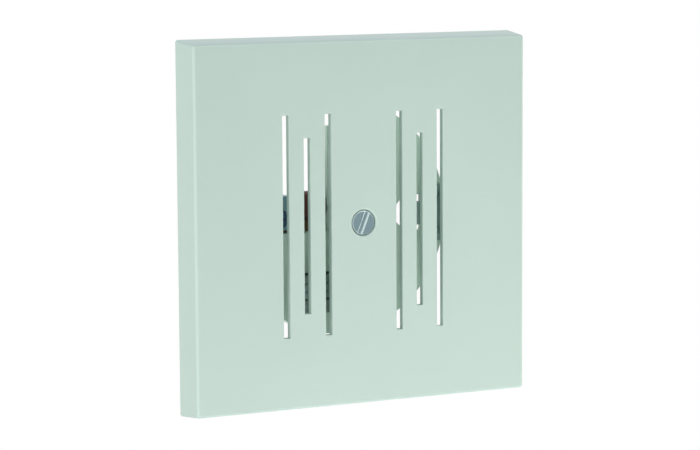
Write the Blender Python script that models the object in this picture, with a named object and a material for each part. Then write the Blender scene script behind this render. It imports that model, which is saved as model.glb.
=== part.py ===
"""Flush-mounted alarm siren: a slotted square cover screwed to a round carrier with its sounder.

Metres, +Z up. X runs to the right, Y into the wall. The origin is on the cover screw's axis,
in the wall plane that the cover's rear rim and the steel lugs lie on.
"""

from math import cos, pi, radians, sin

import bmesh
import bpy
from mathutils import Matrix, Vector

# Clearances
FIT = 0.0003                 # between pieces that touch or slide
OVERRUN = 0.0010             # how far a cut runs past the face that it opens
BED = 0.0005                 # how deep a joined post or pillar sinks into its plate
ROUND = 40                   # facets of a large round
SMALL_ROUND = 20             # facets of a small round
TINY_ROUND = 14              # facets of a rivet or a board screw

# Cover
COVER_SIDE = 0.0800          # front face, width and height
COVER_DEPTH = 0.0080         # wall plane to front face
COVER_FLARE = 0.0008         # each rear edge stands this far outside the front edge
COVER_WALL = 0.0015          # side walls
COVER_FRONT = 0.0015         # front wall
COVER_EDGE = 0.0006          # rounding of the front and corner edges
SLOT_WIDTH = 0.0015
SLOT_LONG = 0.0485
SLOT_SHORT = 0.0384
SLOT_PITCH = 0.00505
SLOT_GROUP = 0.0137          # screw axis to the middle slot of a group
BOSS_RADIUS = 0.0040         # boss behind the front wall, round the screw
BOSS_REAR = -0.0006          # Y of the boss's rear face

# Cover screw, washer and insert
SCREW_RADIUS = 0.0015
HEAD_RADIUS = 0.00275
HEAD_HEIGHT = 0.0020
HEAD_RECESS = 0.0003         # head below the cover's front face
HEAD_RIM = 0.0002            # rounding of the head's rim
SCREW_POINT = 0.0004         # taper at the screw's end
HEAD_SLOT_WIDTH = 0.0008
HEAD_SLOT_DEPTH = 0.0009
HEAD_SLOT_ANGLE = radians(22)  # slot from upright, top to the right
SCREW_LENGTH = 0.0120
WASHER_RADIUS = 0.0034
WASHER_HEIGHT = 0.0006
INSERT_WALL = 0.0009
INSERT_GROOVE = 0.0003
INSERT_LENGTH = 0.0056

# Base
BASE_RADIUS = 0.0262
BASE_FRONT = 0.0040          # Y of the plate's front face
BASE_PLATE = 0.0025
SKIRT_WALL = 0.0016
SKIRT_DEPTH = 0.0060         # rim behind the plate
PILLAR_WALL = 0.0012
WINDOW_RIGHT = -0.0033       # component window, open at the rim
WINDOW_ROOM = 0.0007         # round the left lug's tongue
WINDOW_STEP = 0.0028         # the window widens by this at its top
WINDOW_STEP_BOTTOM = 0.0205
LUG_HOLE_RADIUS = 0.0040
PORT_RADIUS = 0.0030

# Steel lugs
LUG_THICK = 0.0010
LUG_WIDTH = 0.0130
TONGUE_WIDTH = 0.0053
TONGUE_LIP = 0.0020          # depth of the lip below the lug
SHOULDER_INSET = 0.0020      # rivets to where the tongue widens
EAR_ROOM = 0.0025            # between an ear's end and the cover's wall
BOX_SCREW_SPACING = 0.0600   # between the two box screws
BOX_SLOT_RADIUS = 0.0018
BOX_SLOT_RUN = 0.0022        # between the centres of a slot's round ends
RIVET_INSET = 0.0036         # base's edge to the rivets
RIVET_Z = 0.0042
RIVET_RADIUS = 0.0010
RIVET_HEAD_RADIUS = 0.0015
RIVET_HEAD_HEIGHT = 0.0008
RIVET_CROWN_RADIUS = 0.0010  # flat top of the head

# Circuit board
BOARD_ROOM = 0.0012          # between the board and the base's rim
BOARD_THICK = 0.0016
BOARD_STANDOFF = 0.0017      # post height behind the plate
BOARD_TOP_LEFT = 0.0049      # upper edge behind the window
BOARD_TOP_RIGHT = 0.0196     # upper edge beside the window
BOARD_RIGHT = 0.0125
POST_RADIUS = 0.0020
EDGE_POST_ANGLE = radians(211)  # post near the board's edge, from X towards Z
EDGE_POST_INSET = 0.0030     # board's edge to that post
INNER_POSTS = ((0.0012, 0.0175), (0.0102, 0.0045))
BOARD_SCREW_RADIUS = 0.0009
BOARD_SCREW_HEAD_RADIUS = 0.0018
BOARD_SCREW_HEAD = 0.0011
BOARD_SCREW_CROWN_RADIUS = 0.0012  # flat top of the head
BOARD_SCREW_BITE = 0.0026    # thread length in the post

# Trimmer
TRIMMER_Z = 0.0016
TRIMMER_WIDTH = 0.0050
TRIMMER_HEIGHT = 0.0076
TRIMMER_DEPTH = 0.0040
ROTOR_WALL = 0.0004          # body below the rotor's bore
ROTOR_RADIUS = 0.0018
ROTOR_DEPTH = 0.0018
ROTOR_PROUD = 0.0004
ROTOR_SLOT_WIDTH = 0.0006
ROTOR_SLOT_DEPTH = 0.0007

# Choke
COIL_LENGTH = 0.0042
COIL_Z = 0.0030
COIL_CORE_RADIUS = 0.0024
COIL_SLEEVE_WALL = 0.0005
COIL_CORE_PROUD = 0.0003     # core past each end of the sleeve

# Transistor
PART_GAP = 0.0004            # between neighbours on the board
TRANSISTOR_THICK = 0.0029
TRANSISTOR_WIDTH = 0.0046
TRANSISTOR_FACE = 0.0032     # width of the flat side
TRANSISTOR_TALL = 0.0045
TRANSISTOR_Z = 0.0028

# Tamper switch
TAMPER_X = 0.0055
TAMPER_Z = 0.0110
TAMPER_SIDE = 0.0060
TAMPER_DEPTH = 0.0035
TAMPER_BORE_DEPTH = 0.0022
TAMPER_TRAVEL = 0.0006
PLUNGER_RADIUS = 0.0015
PLUNGER_TIP = -0.0009        # Y of the plunger's front end
PEG_RADIUS = 0.0022          # cover peg that holds the plunger down

# Terminal block
TERMINAL_ROOM = 0.0005       # between the block and the sounder's collar
TERMINAL_Z = -0.01645
TERMINAL_WIDTH = 0.0104
TERMINAL_HEIGHT = 0.0083
TERMINAL_DEPTH = 0.0082
POLE_PITCH = 0.0050
POLE_RISE = 0.00075          # screw axes above the block's middle
CLAMP_WELL_RADIUS = 0.0020
CLAMP_HEAD_RADIUS = 0.0017
CLAMP_HEAD_HEIGHT = 0.0013
CLAMP_HEAD_SINK = 0.0004
CLAMP_SHOULDER = 0.0004      # wall that keeps the screw head in
CLAMP_SHAFT_RADIUS = 0.0008
CLAMP_SHAFT_LENGTH = 0.0030
CLAMP_SLOT_WIDTH = 0.0005
CLAMP_SLOT_DEPTH = 0.0006
CHAMBER_WIDTH = 0.0036
CHAMBER_DEPTH = 0.0045
CAGE_LENGTH = 0.0042
CAGE_DEPTH = 0.0032
CAGE_WALL_X = 0.0006
CAGE_WALL_Y = 0.0010

# Sounder
SOUNDER_ANGLE = radians(-50)  # from the screw axis, from X towards Z
SOUNDER_ROOM = 0.0008        # between the sounder and the base's rim
SOUNDER_RADIUS = 0.0095
SOUNDER_DEPTH = 0.0082
SOUNDER_WALL = 0.0009
SOUNDER_FRONT = 0.0010
SOUNDER_PORT = 0.0025
LEDGE_DEPTH = 0.0030         # front cavity, front wall to the piezo ledge
LEDGE_WIDTH = 0.0010
COLLAR_WALL = 0.0009
COLLAR_DEPTH = 0.0030
PIEZO_THICK = 0.0003
CERAMIC_RADIUS = 0.0060
CERAMIC_THICK = 0.0003
CAP_PLATE = 0.0014
CAP_SINK = 0.0002
CAP_RIM = 0.0010
LEAD_RADIUS = 0.0005
LEAD_SPREAD = 0.0007         # half the space between the leads
LEAD_RISE = 0.0030           # bow of the leads behind the sounder
LEAD_BEND = 0.0012           # first sideways step of the bow
LEAD_DROP = 0.0022           # how far below its pad a lead turns in
LEAD_PAD_X = 0.0060
LEAD_PAD_RISE = 0.0026       # pads above the board's inner level edge
LEAD_STEPS = 5               # tube points on each stretch of a lead

# Parts behind the board
CAPACITOR_ROOM = 0.0012      # to the edge post's screw and to the board's inner edge
CAPACITOR_RADIUS = 0.00315
CAPACITOR_LENGTH = 0.0110
CAPACITOR_GROOVE = 0.0004
CHIP_X = 0.0056
CHIP_Z = 0.0120
CHIP_WIDTH = 0.0050
CHIP_HEIGHT = 0.0040
CHIP_THICK = 0.0015
RESISTOR_X = -0.0105
RESISTOR_Z = -0.0125
RESISTOR_PITCH = 0.0030
RESISTOR_COUNT = 3
RESISTOR_LENGTH = 0.0032
RESISTOR_WIDTH = 0.0016
RESISTOR_THICK = 0.0006

# Derived places along Y
COVER_FACE = -COVER_DEPTH
COVER_INNER = COVER_FACE + COVER_FRONT
HEAD_TOP = COVER_FACE + HEAD_RECESS
HEAD_SEAT = HEAD_TOP + HEAD_HEIGHT
WASHER_FRONT = BOSS_REAR + FIT
PILLAR_FRONT = WASHER_FRONT + WASHER_HEIGHT + FIT
BASE_REAR = BASE_FRONT + BASE_PLATE
LUG_REAR = BASE_FRONT - FIT
LUG_FRONT = LUG_REAR - LUG_THICK
POST_REAR = BASE_REAR + BOARD_STANDOFF
BOARD_FRONT = POST_REAR + FIT
BOARD_REAR = BOARD_FRONT + BOARD_THICK
MOUNT_FRONT = BOARD_FRONT - FIT      # where pieces on the board's front end
MOUNT_REAR = BOARD_REAR + FIT        # where pieces behind the board begin
TERMINAL_FRONT = MOUNT_FRONT - TERMINAL_DEPTH
SOUNDER_FACE = BASE_REAR + FIT
INSERT_RADIUS = SCREW_RADIUS + FIT + INSERT_WALL
PILLAR_RADIUS = INSERT_RADIUS + FIT + PILLAR_WALL
LEAD_HOLE = LEAD_SPREAD + LEAD_RADIUS + FIT

# Derived places along X and Z
BOARD_RADIUS = BASE_RADIUS - SKIRT_WALL - BOARD_ROOM
TRANSISTOR_RIGHT = WINDOW_RIGHT - PART_GAP
COIL_RIGHT = TRANSISTOR_RIGHT - TRANSISTOR_THICK - PART_GAP - COIL_CORE_PROUD
COIL_LEFT = COIL_RIGHT - COIL_LENGTH
TRIMMER_X = COIL_LEFT - COIL_CORE_PROUD - PART_GAP - TRIMMER_WIDTH / 2
ROTOR_Z = TRIMMER_Z - TRIMMER_HEIGHT / 2 + ROTOR_WALL + FIT + ROTOR_RADIUS
TONGUE_END = TRIMMER_WIDTH / 2 - TRIMMER_X + PART_GAP
LUG_HOLE_X = TONGUE_END
WINDOW_LEFT = -(TONGUE_END + LUG_THICK + WINDOW_ROOM)
WINDOW_BOTTOM = -(TONGUE_WIDTH / 2 + FIT)
RIVET_X = BASE_RADIUS - RIVET_INSET
SHOULDER_X = RIVET_X - SHOULDER_INSET
EAR_END = COVER_SIDE / 2 - COVER_WALL - EAR_ROOM
SOUNDER_REACH = BASE_RADIUS - SKIRT_WALL - SOUNDER_ROOM - SOUNDER_RADIUS
SOUNDER_X = SOUNDER_REACH * cos(SOUNDER_ANGLE)
SOUNDER_Z = SOUNDER_REACH * sin(SOUNDER_ANGLE)
COLLAR_RADIUS = SOUNDER_RADIUS + FIT + COLLAR_WALL
BOARD_STEP_X = SOUNDER_X - COLLAR_RADIUS - FIT
BOARD_STEP_Z = SOUNDER_Z + COLLAR_RADIUS + FIT
TERMINAL_X = SOUNDER_X - COLLAR_RADIUS - TERMINAL_ROOM - TERMINAL_WIDTH / 2
POLE_Z = TERMINAL_Z + POLE_RISE
LEAD_PAD_Z = BOARD_STEP_Z + LEAD_PAD_RISE
EDGE_POST_REACH = BOARD_RADIUS - EDGE_POST_INSET
EDGE_POST = (EDGE_POST_REACH * cos(EDGE_POST_ANGLE), EDGE_POST_REACH * sin(EDGE_POST_ANGLE))
POST_PLACES = (EDGE_POST, *INNER_POSTS)
CAPACITOR_X = BOARD_STEP_X - CAPACITOR_ROOM - CAPACITOR_LENGTH / 2
CAPACITOR_Z = EDGE_POST[1] + BOARD_SCREW_HEAD_RADIUS + CAPACITOR_ROOM + CAPACITOR_RADIUS

ROOT = None


def clear_scene():
    """Remove every object and mesh that the start-up file holds."""
    for obj in list(bpy.data.objects):
        bpy.data.objects.remove(obj, do_unlink=True)
    for mesh in list(bpy.data.meshes):
        bpy.data.meshes.remove(mesh)


def material(name, colour, roughness, metallic=0.0):
    """Make a plain surface of one colour."""
    mat = bpy.data.materials.new(name)
    mat.use_nodes = True
    mat.diffuse_color = (*colour, 1.0)
    shader = mat.node_tree.nodes["Principled BSDF"]
    shader.inputs["Base Color"].default_value = (*colour, 1.0)
    shader.inputs["Roughness"].default_value = roughness
    shader.inputs["Metallic"].default_value = metallic
    return mat


def place(name, bm, mat, location=(0, 0, 0)):
    """Turn a mesh under construction into a named object at its place."""
    bmesh.ops.recalc_face_normals(bm, faces=bm.faces)
    mesh = bpy.data.meshes.new(name)
    bm.to_mesh(mesh)
    bm.free()
    mesh.shade_smooth()
    mesh.set_sharp_from_angle(angle=radians(30))
    obj = bpy.data.objects.new(name, mesh)
    bpy.context.collection.objects.link(obj)
    obj.location = location
    obj.parent = ROOT
    if mat:
        mesh.materials.append(mat)
    return obj


def shape(target, bm, operation, label):
    """Cut a target with, or join it to, the bodies of a mesh given in the target's own space."""
    tool = place(f"{target.name}_{label}", bm, None, target.location)
    tool.hide_render = True
    tool.display_type = "WIRE"
    modifier = target.modifiers.new(label, "BOOLEAN")
    modifier.operation = operation
    modifier.solver = "EXACT"
    modifier.use_self = True
    modifier.object = tool


def add_box(bm, low, high):
    """Add a box between two corners."""
    size = [b - a for a, b in zip(low, high)]
    middle = [(a + b) / 2 for a, b in zip(low, high)]
    matrix = Matrix.Translation(middle) @ Matrix.Diagonal((*size, 1.0))
    return bmesh.ops.create_cube(bm, size=1.0, matrix=matrix)["verts"]


def add_turned(bm, profile, facets, centre=(0, 0, 0), axis="Y"):
    """Spin a closed profile of (radius, distance along the axis) round an axis through a centre."""
    along = Vector((0, 1, 0)) if axis == "Y" else Vector((1, 0, 0))
    out = Vector((0, 0, 1))
    start = [bm.verts.new(Vector(centre) + along * d + out * r) for r, d in profile]
    edges = [bm.edges.new(pair) for pair in zip(start, start[1:] + start[:1])]
    spun = [edge for edge in edges if any(v.co.z - centre[2] > 1e-9 for v in edge.verts)]
    for edge in edges:
        if edge not in spun:
            bm.edges.remove(edge)
    before = set(bm.verts) - set(start)
    bmesh.ops.spin(bm, geom=start + spun, cent=centre, axis=along, angle=2 * pi,
                   steps=facets, use_merge=True)
    made = [v for v in bm.verts if v not in before]
    bmesh.ops.remove_doubles(bm, verts=made, dist=1e-6)


def add_pin(bm, x, z, radius, front, rear, facets):
    """Add a plain round pin along Y."""
    add_turned(bm, [(0, front), (radius, front), (radius, rear), (0, rear)], facets, (x, 0, z))


def add_prism(bm, outline, low, high, along="Y"):
    """Extrude an outline of (x, z) along Y, or of (x, y) along Z."""
    if along == "Y":
        corners = [bm.verts.new((a, low, b)) for a, b in outline]
        shift = Vector((0, high - low, 0))
    else:
        corners = [bm.verts.new((a, b, low)) for a, b in outline]
        shift = Vector((0, 0, high - low))
    face = bm.faces.new(corners)
    made = bmesh.ops.extrude_face_region(bm, geom=[face])["geom"]
    bmesh.ops.translate(bm, verts=[v for v in made if isinstance(v, bmesh.types.BMVert)], vec=shift)


def rounded_slot(x, z, run, radius):
    """Give the outline of a level slot with round ends."""
    half = SMALL_ROUND // 2
    outline = []
    for side, start in ((1, -pi / 2), (-1, pi / 2)):
        for step in range(half + 1):
            angle = start + pi * step / half
            outline.append((x + side * run / 2 + radius * cos(angle), z + radius * sin(angle)))
    return outline


def add_frustum(bm, front_half, front, rear_half, rear):
    """Add a square block whose side changes evenly from its front to its rear."""
    corners = ((-1, -1), (1, -1), (1, 1), (-1, 1))
    near = [bm.verts.new((front_half * a, front, front_half * b)) for a, b in corners]
    far = [bm.verts.new((rear_half * a, rear, rear_half * b)) for a, b in corners]
    bm.faces.new(near)
    bm.faces.new(far[::-1])
    for i in range(4):
        j = (i + 1) % 4
        bm.faces.new((near[i], far[i], far[j], near[j]))


def half_side(y):
    """Give half the cover's outer side at a place along Y."""
    return COVER_SIDE / 2 + COVER_FLARE * (y - COVER_FACE) / COVER_DEPTH


def make_cover(mat):
    """Make the moulded front shell with its slots, screw boss and tamper peg."""
    bm = bmesh.new()
    add_frustum(bm, half_side(COVER_FACE), COVER_FACE, half_side(0), 0)
    outer = [e for e in bm.edges if any(v.co.y < COVER_FACE / 2 for v in e.verts)]
    bmesh.ops.bevel(bm, geom=outer, offset=COVER_EDGE, segments=3, profile=0.5, affect="EDGES")
    cover = place("cover", bm, mat)

    hollow = bmesh.new()
    add_frustum(hollow, half_side(COVER_INNER) - COVER_WALL, COVER_INNER,
                half_side(OVERRUN) - COVER_WALL, OVERRUN)
    shape(cover, hollow, "DIFFERENCE", "hollow")

    posts = bmesh.new()
    add_pin(posts, 0, 0, BOSS_RADIUS, COVER_INNER - BED, BOSS_REAR, ROUND)
    add_pin(posts, TAMPER_X, TAMPER_Z, PEG_RADIUS, COVER_INNER - BED, PLUNGER_TIP - FIT, SMALL_ROUND)
    shape(cover, posts, "UNION", "posts")

    openings = bmesh.new()
    slot_end = COVER_INNER + OVERRUN
    for side in (-1, 1):
        for step, length in ((-1, SLOT_LONG), (0, SLOT_SHORT), (1, SLOT_LONG)):
            x = side * SLOT_GROUP + step * SLOT_PITCH
            add_box(openings, (x - SLOT_WIDTH / 2, COVER_FACE - OVERRUN, -length / 2),
                    (x + SLOT_WIDTH / 2, slot_end, length / 2))
    bore = HEAD_RADIUS + FIT
    shaft = SCREW_RADIUS + FIT
    start = COVER_FACE - OVERRUN
    floor = HEAD_SEAT + FIT
    end = BOSS_REAR + OVERRUN
    add_turned(openings, [(0, start), (bore, start), (bore, floor), (shaft, floor), (shaft, end), (0, end)],
               ROUND)
    shape(cover, openings, "DIFFERENCE", "openings")


def make_cover_screw(mat):
    """Make the slotted cheese-head screw, with its origin on its axis under the head."""
    bm = bmesh.new()
    add_turned(bm, [(0, -HEAD_HEIGHT), (HEAD_RADIUS - HEAD_RIM, -HEAD_HEIGHT),
                    (HEAD_RADIUS, HEAD_RIM - HEAD_HEIGHT), (HEAD_RADIUS, 0), (SCREW_RADIUS, 0),
                    (SCREW_RADIUS, SCREW_LENGTH - SCREW_POINT), (SCREW_RADIUS - SCREW_POINT, SCREW_LENGTH),
                    (0, SCREW_LENGTH)], ROUND)
    screw = place("cover_screw", bm, mat, (0, HEAD_SEAT, 0))
    slot = bmesh.new()
    reach = HEAD_RADIUS + OVERRUN
    verts = add_box(slot, (-HEAD_SLOT_WIDTH / 2, -HEAD_HEIGHT - OVERRUN, -reach),
                    (HEAD_SLOT_WIDTH / 2, HEAD_SLOT_DEPTH - HEAD_HEIGHT, reach))
    bmesh.ops.rotate(slot, verts=verts, cent=(0, 0, 0), matrix=Matrix.Rotation(HEAD_SLOT_ANGLE, 3, "Y"))
    shape(screw, slot, "DIFFERENCE", "slot")


def make_washer(mat):
    """Make the washer that keeps the screw in the cover."""
    bm = bmesh.new()
    inner = SCREW_RADIUS + FIT
    add_turned(bm, [(inner, 0), (WASHER_RADIUS, 0), (WASHER_RADIUS, WASHER_HEIGHT), (inner, WASHER_HEIGHT)],
               SMALL_ROUND)
    place("screw_washer", bm, mat, (0, WASHER_FRONT, 0))


def make_base(mat):
    """Make the round carrier with its rim, pillar, posts, sounder collar and windows."""
    bm = bmesh.new()
    inner = BASE_RADIUS - SKIRT_WALL
    rim = BASE_REAR + SKIRT_DEPTH
    add_turned(bm, [(0, BASE_FRONT), (BASE_RADIUS, BASE_FRONT), (BASE_RADIUS, rim), (inner, rim),
                    (inner, BASE_REAR), (0, BASE_REAR)], 2 * ROUND)
    base = place("base", bm, mat)

    posts = bmesh.new()
    add_pin(posts, 0, 0, PILLAR_RADIUS, PILLAR_FRONT, BASE_FRONT + BED, ROUND)
    for x, z in POST_PLACES:
        add_pin(posts, x, z, POST_RADIUS, BASE_REAR - BED, POST_REAR, SMALL_ROUND)
    bore = SOUNDER_RADIUS + FIT
    add_turned(posts, [(bore, BASE_REAR - BED), (COLLAR_RADIUS, BASE_REAR - BED),
                       (COLLAR_RADIUS, BASE_REAR + COLLAR_DEPTH), (bore, BASE_REAR + COLLAR_DEPTH)],
               ROUND, (SOUNDER_X, 0, SOUNDER_Z))
    shape(base, posts, "UNION", "posts")

    openings = bmesh.new()
    front = PILLAR_FRONT - OVERRUN
    rear = rim + OVERRUN
    top = BASE_RADIUS + OVERRUN
    step_right = WINDOW_RIGHT + WINDOW_STEP
    add_prism(openings, [(WINDOW_LEFT, WINDOW_BOTTOM), (WINDOW_RIGHT, WINDOW_BOTTOM),
                         (WINDOW_RIGHT, WINDOW_STEP_BOTTOM), (step_right, WINDOW_STEP_BOTTOM),
                         (step_right, top), (WINDOW_LEFT, top)], BASE_FRONT - OVERRUN, rear)
    for x, z, width, height in ((TERMINAL_X, TERMINAL_Z, TERMINAL_WIDTH, TERMINAL_HEIGHT),
                                (TAMPER_X, TAMPER_Z, TAMPER_SIDE, TAMPER_SIDE)):
        half_x = width / 2 + FIT
        half_z = height / 2 + FIT
        add_box(openings, (x - half_x, BASE_FRONT - OVERRUN, z - half_z), (x + half_x, rear, z + half_z))
    through = BASE_REAR + OVERRUN
    add_pin(openings, LUG_HOLE_X, 0, LUG_HOLE_RADIUS, BASE_FRONT - OVERRUN, through, ROUND)
    add_pin(openings, SOUNDER_X, SOUNDER_Z, PORT_RADIUS, BASE_FRONT - OVERRUN, through, SMALL_ROUND)
    add_pin(openings, 0, 0, INSERT_RADIUS + FIT, front, through, ROUND)
    for side in (-1, 1):
        for z in (-RIVET_Z, RIVET_Z):
            add_pin(openings, side * RIVET_X, z, RIVET_RADIUS + FIT, BASE_FRONT - OVERRUN, through,
                    SMALL_ROUND)
    for x, z in POST_PLACES:
        add_pin(openings, x, z, BOARD_SCREW_RADIUS + FIT, POST_REAR - BOARD_SCREW_BITE - FIT,
                POST_REAR + OVERRUN, SMALL_ROUND)
    shape(base, openings, "DIFFERENCE", "openings")


def make_insert(mat):
    """Make the threaded brass insert in the base's pillar."""
    bm = bmesh.new()
    bore = SCREW_RADIUS + FIT
    waist = INSERT_RADIUS - INSERT_GROOVE
    third = INSERT_LENGTH / 3
    add_turned(bm, [(bore, 0), (INSERT_RADIUS, 0), (INSERT_RADIUS, third), (waist, third),
                    (waist, 2 * third), (INSERT_RADIUS, 2 * third), (INSERT_RADIUS, INSERT_LENGTH),
                    (bore, INSERT_LENGTH)], SMALL_ROUND)
    place("centre_insert", bm, mat, (0, PILLAR_FRONT + FIT, 0))


def make_lug(name, side, mat):
    """Make one cranked lug: hooked tongue and plate on the base, ear with its slot on the wall."""
    leg = BASE_RADIUS + FIT
    outline = [(TONGUE_END, LUG_REAR + TONGUE_LIP), (TONGUE_END, LUG_FRONT), (leg, LUG_FRONT),
               (leg, -LUG_THICK), (EAR_END, -LUG_THICK), (EAR_END, 0), (leg + LUG_THICK, 0),
               (leg + LUG_THICK, LUG_REAR), (TONGUE_END + LUG_THICK, LUG_REAR),
               (TONGUE_END + LUG_THICK, LUG_REAR + TONGUE_LIP)]
    bm = bmesh.new()
    add_prism(bm, [(side * x, y) for x, y in outline], -LUG_WIDTH / 2, LUG_WIDTH / 2, "Z")
    lug = place(name, bm, mat)

    cuts = bmesh.new()
    near, far = sorted((side * (TONGUE_END - OVERRUN), side * SHOULDER_X))
    edge = LUG_WIDTH / 2 + OVERRUN
    for low, high in ((-edge, -TONGUE_WIDTH / 2), (TONGUE_WIDTH / 2, edge)):
        add_box(cuts, (near, LUG_FRONT - OVERRUN, low), (far, LUG_REAR + TONGUE_LIP + OVERRUN, high))
    for z in (-RIVET_Z, RIVET_Z):
        add_pin(cuts, side * RIVET_X, z, RIVET_RADIUS + FIT, LUG_FRONT - OVERRUN, LUG_REAR + OVERRUN,
                SMALL_ROUND)
    add_prism(cuts, rounded_slot(side * BOX_SCREW_SPACING / 2, 0, BOX_SLOT_RUN, BOX_SLOT_RADIUS),
              -LUG_THICK - OVERRUN, OVERRUN)
    shape(lug, cuts, "DIFFERENCE", "cuts")


def make_rivets(mat):
    """Make the four rivets that hold the lugs on the base."""
    front = LUG_FRONT - FIT
    rear = BASE_REAR + FIT
    profile = [(0, front - RIVET_HEAD_HEIGHT), (RIVET_CROWN_RADIUS, front - RIVET_HEAD_HEIGHT),
               (RIVET_HEAD_RADIUS, front - RIVET_HEAD_HEIGHT / 2), (RIVET_HEAD_RADIUS, front),
               (RIVET_RADIUS, front), (RIVET_RADIUS, rear), (RIVET_HEAD_RADIUS, rear),
               (RIVET_HEAD_RADIUS, rear + RIVET_HEAD_HEIGHT), (0, rear + RIVET_HEAD_HEIGHT)]
    places = [(side * RIVET_X, z) for side in (-1, 1) for z in (-RIVET_Z, RIVET_Z)]
    for number, (x, z) in enumerate(places, start=1):
        bm = bmesh.new()
        add_turned(bm, profile, TINY_ROUND)
        place(f"lug_rivet_{number}", bm, mat, (x, 0, z))


def make_board(mat):
    """Make the circuit board, stepped clear of the window and the sounder."""
    bm = bmesh.new()
    add_pin(bm, 0, 0, BOARD_RADIUS, BOARD_FRONT, BOARD_REAR, 2 * ROUND)
    board = place("circuit_board", bm, mat)
    cuts = bmesh.new()
    far = BOARD_RADIUS + OVERRUN
    low = BOARD_FRONT - OVERRUN
    high = BOARD_REAR + OVERRUN
    outline = [(BOARD_STEP_X, -far), (far, -far), (far, far), (-far, far), (-far, BOARD_TOP_LEFT),
               (BOARD_STEP_X, BOARD_TOP_LEFT), (BOARD_STEP_X, BOARD_TOP_RIGHT),
               (BOARD_RIGHT, BOARD_TOP_RIGHT), (BOARD_RIGHT, BOARD_STEP_Z), (BOARD_STEP_X, BOARD_STEP_Z)]
    add_prism(cuts, outline, low, high)
    for x, z in POST_PLACES:
        add_pin(cuts, x, z, BOARD_SCREW_RADIUS + FIT, low, high, SMALL_ROUND)
    shape(board, cuts, "DIFFERENCE", "cuts")


def make_board_screws(mat):
    """Make the screws that hold the board on its posts, each with its origin under its head."""
    length = MOUNT_REAR - POST_REAR + BOARD_SCREW_BITE
    profile = [(0, -length), (BOARD_SCREW_RADIUS, -length), (BOARD_SCREW_RADIUS, 0),
               (BOARD_SCREW_HEAD_RADIUS, 0), (BOARD_SCREW_HEAD_RADIUS, BOARD_SCREW_HEAD / 2),
               (BOARD_SCREW_CROWN_RADIUS, BOARD_SCREW_HEAD), (0, BOARD_SCREW_HEAD)]
    for number, (x, z) in enumerate(POST_PLACES, start=1):
        bm = bmesh.new()
        add_turned(bm, profile, TINY_ROUND)
        place(f"board_screw_{number}", bm, mat, (x, MOUNT_REAR, z))


def make_trimmer(body_mat, rotor_mat):
    """Make the trimmer's body and the slotted rotor that turns in its bore."""
    front = MOUNT_FRONT - TRIMMER_DEPTH
    half_x = TRIMMER_WIDTH / 2
    half_z = TRIMMER_HEIGHT / 2
    bm = bmesh.new()
    add_box(bm, (-half_x, 0, -half_z), (half_x, TRIMMER_DEPTH, half_z))
    body = place("trimmer_body", bm, body_mat, (TRIMMER_X, front, TRIMMER_Z))
    bore = bmesh.new()
    depth = ROTOR_DEPTH - ROTOR_PROUD + FIT
    add_pin(bore, 0, ROTOR_Z - TRIMMER_Z, ROTOR_RADIUS + FIT, -OVERRUN, depth, SMALL_ROUND)
    shape(body, bore, "DIFFERENCE", "bore")

    bm = bmesh.new()
    add_pin(bm, 0, 0, ROTOR_RADIUS, 0, ROTOR_DEPTH, SMALL_ROUND)
    rotor = place("trimmer_rotor", bm, rotor_mat, (TRIMMER_X, front - ROTOR_PROUD, ROTOR_Z))
    slot = bmesh.new()
    reach = ROTOR_RADIUS + OVERRUN
    add_box(slot, (-reach, -OVERRUN, -ROTOR_SLOT_WIDTH / 2), (reach, ROTOR_SLOT_DEPTH, ROTOR_SLOT_WIDTH / 2))
    shape(rotor, slot, "DIFFERENCE", "slot")


def make_coil(core_mat, sleeve_mat):
    """Make the choke: a wound core in a shrunk sleeve, lying along X on the board."""
    sleeve_bore = COIL_CORE_RADIUS + FIT
    sleeve_outer = sleeve_bore + COIL_SLEEVE_WALL
    centre = (COIL_LEFT, MOUNT_FRONT - sleeve_outer, COIL_Z)
    bm = bmesh.new()
    low = -COIL_CORE_PROUD
    high = COIL_LENGTH + COIL_CORE_PROUD
    add_turned(bm, [(0, low), (COIL_CORE_RADIUS, low), (COIL_CORE_RADIUS, high), (0, high)],
               SMALL_ROUND, axis="X")
    place("coil_core", bm, core_mat, centre)
    bm = bmesh.new()
    add_turned(bm, [(sleeve_bore, 0), (sleeve_outer, 0), (sleeve_outer, COIL_LENGTH),
                    (sleeve_bore, COIL_LENGTH)], SMALL_ROUND, axis="X")
    place("coil_sleeve", bm, sleeve_mat, centre)


def make_transistor(mat):
    """Make the half-round transistor body standing on the board."""
    half = TRANSISTOR_WIDTH / 2
    flat = TRANSISTOR_FACE / 2
    outline = [(0, -flat), (0, flat), (flat - half, half)]
    steps = SMALL_ROUND // 3
    bulge = TRANSISTOR_THICK - (half - flat)
    for step in range(1, steps):
        angle = pi / 2 + pi * step / steps
        outline.append((flat - half + bulge * cos(angle), half * sin(angle)))
    outline.append((flat - half, -half))
    bm = bmesh.new()
    add_prism(bm, outline, -TRANSISTOR_TALL, 0)
    place("transistor", bm, mat, (TRANSISTOR_RIGHT, MOUNT_FRONT, TRANSISTOR_Z))


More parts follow.
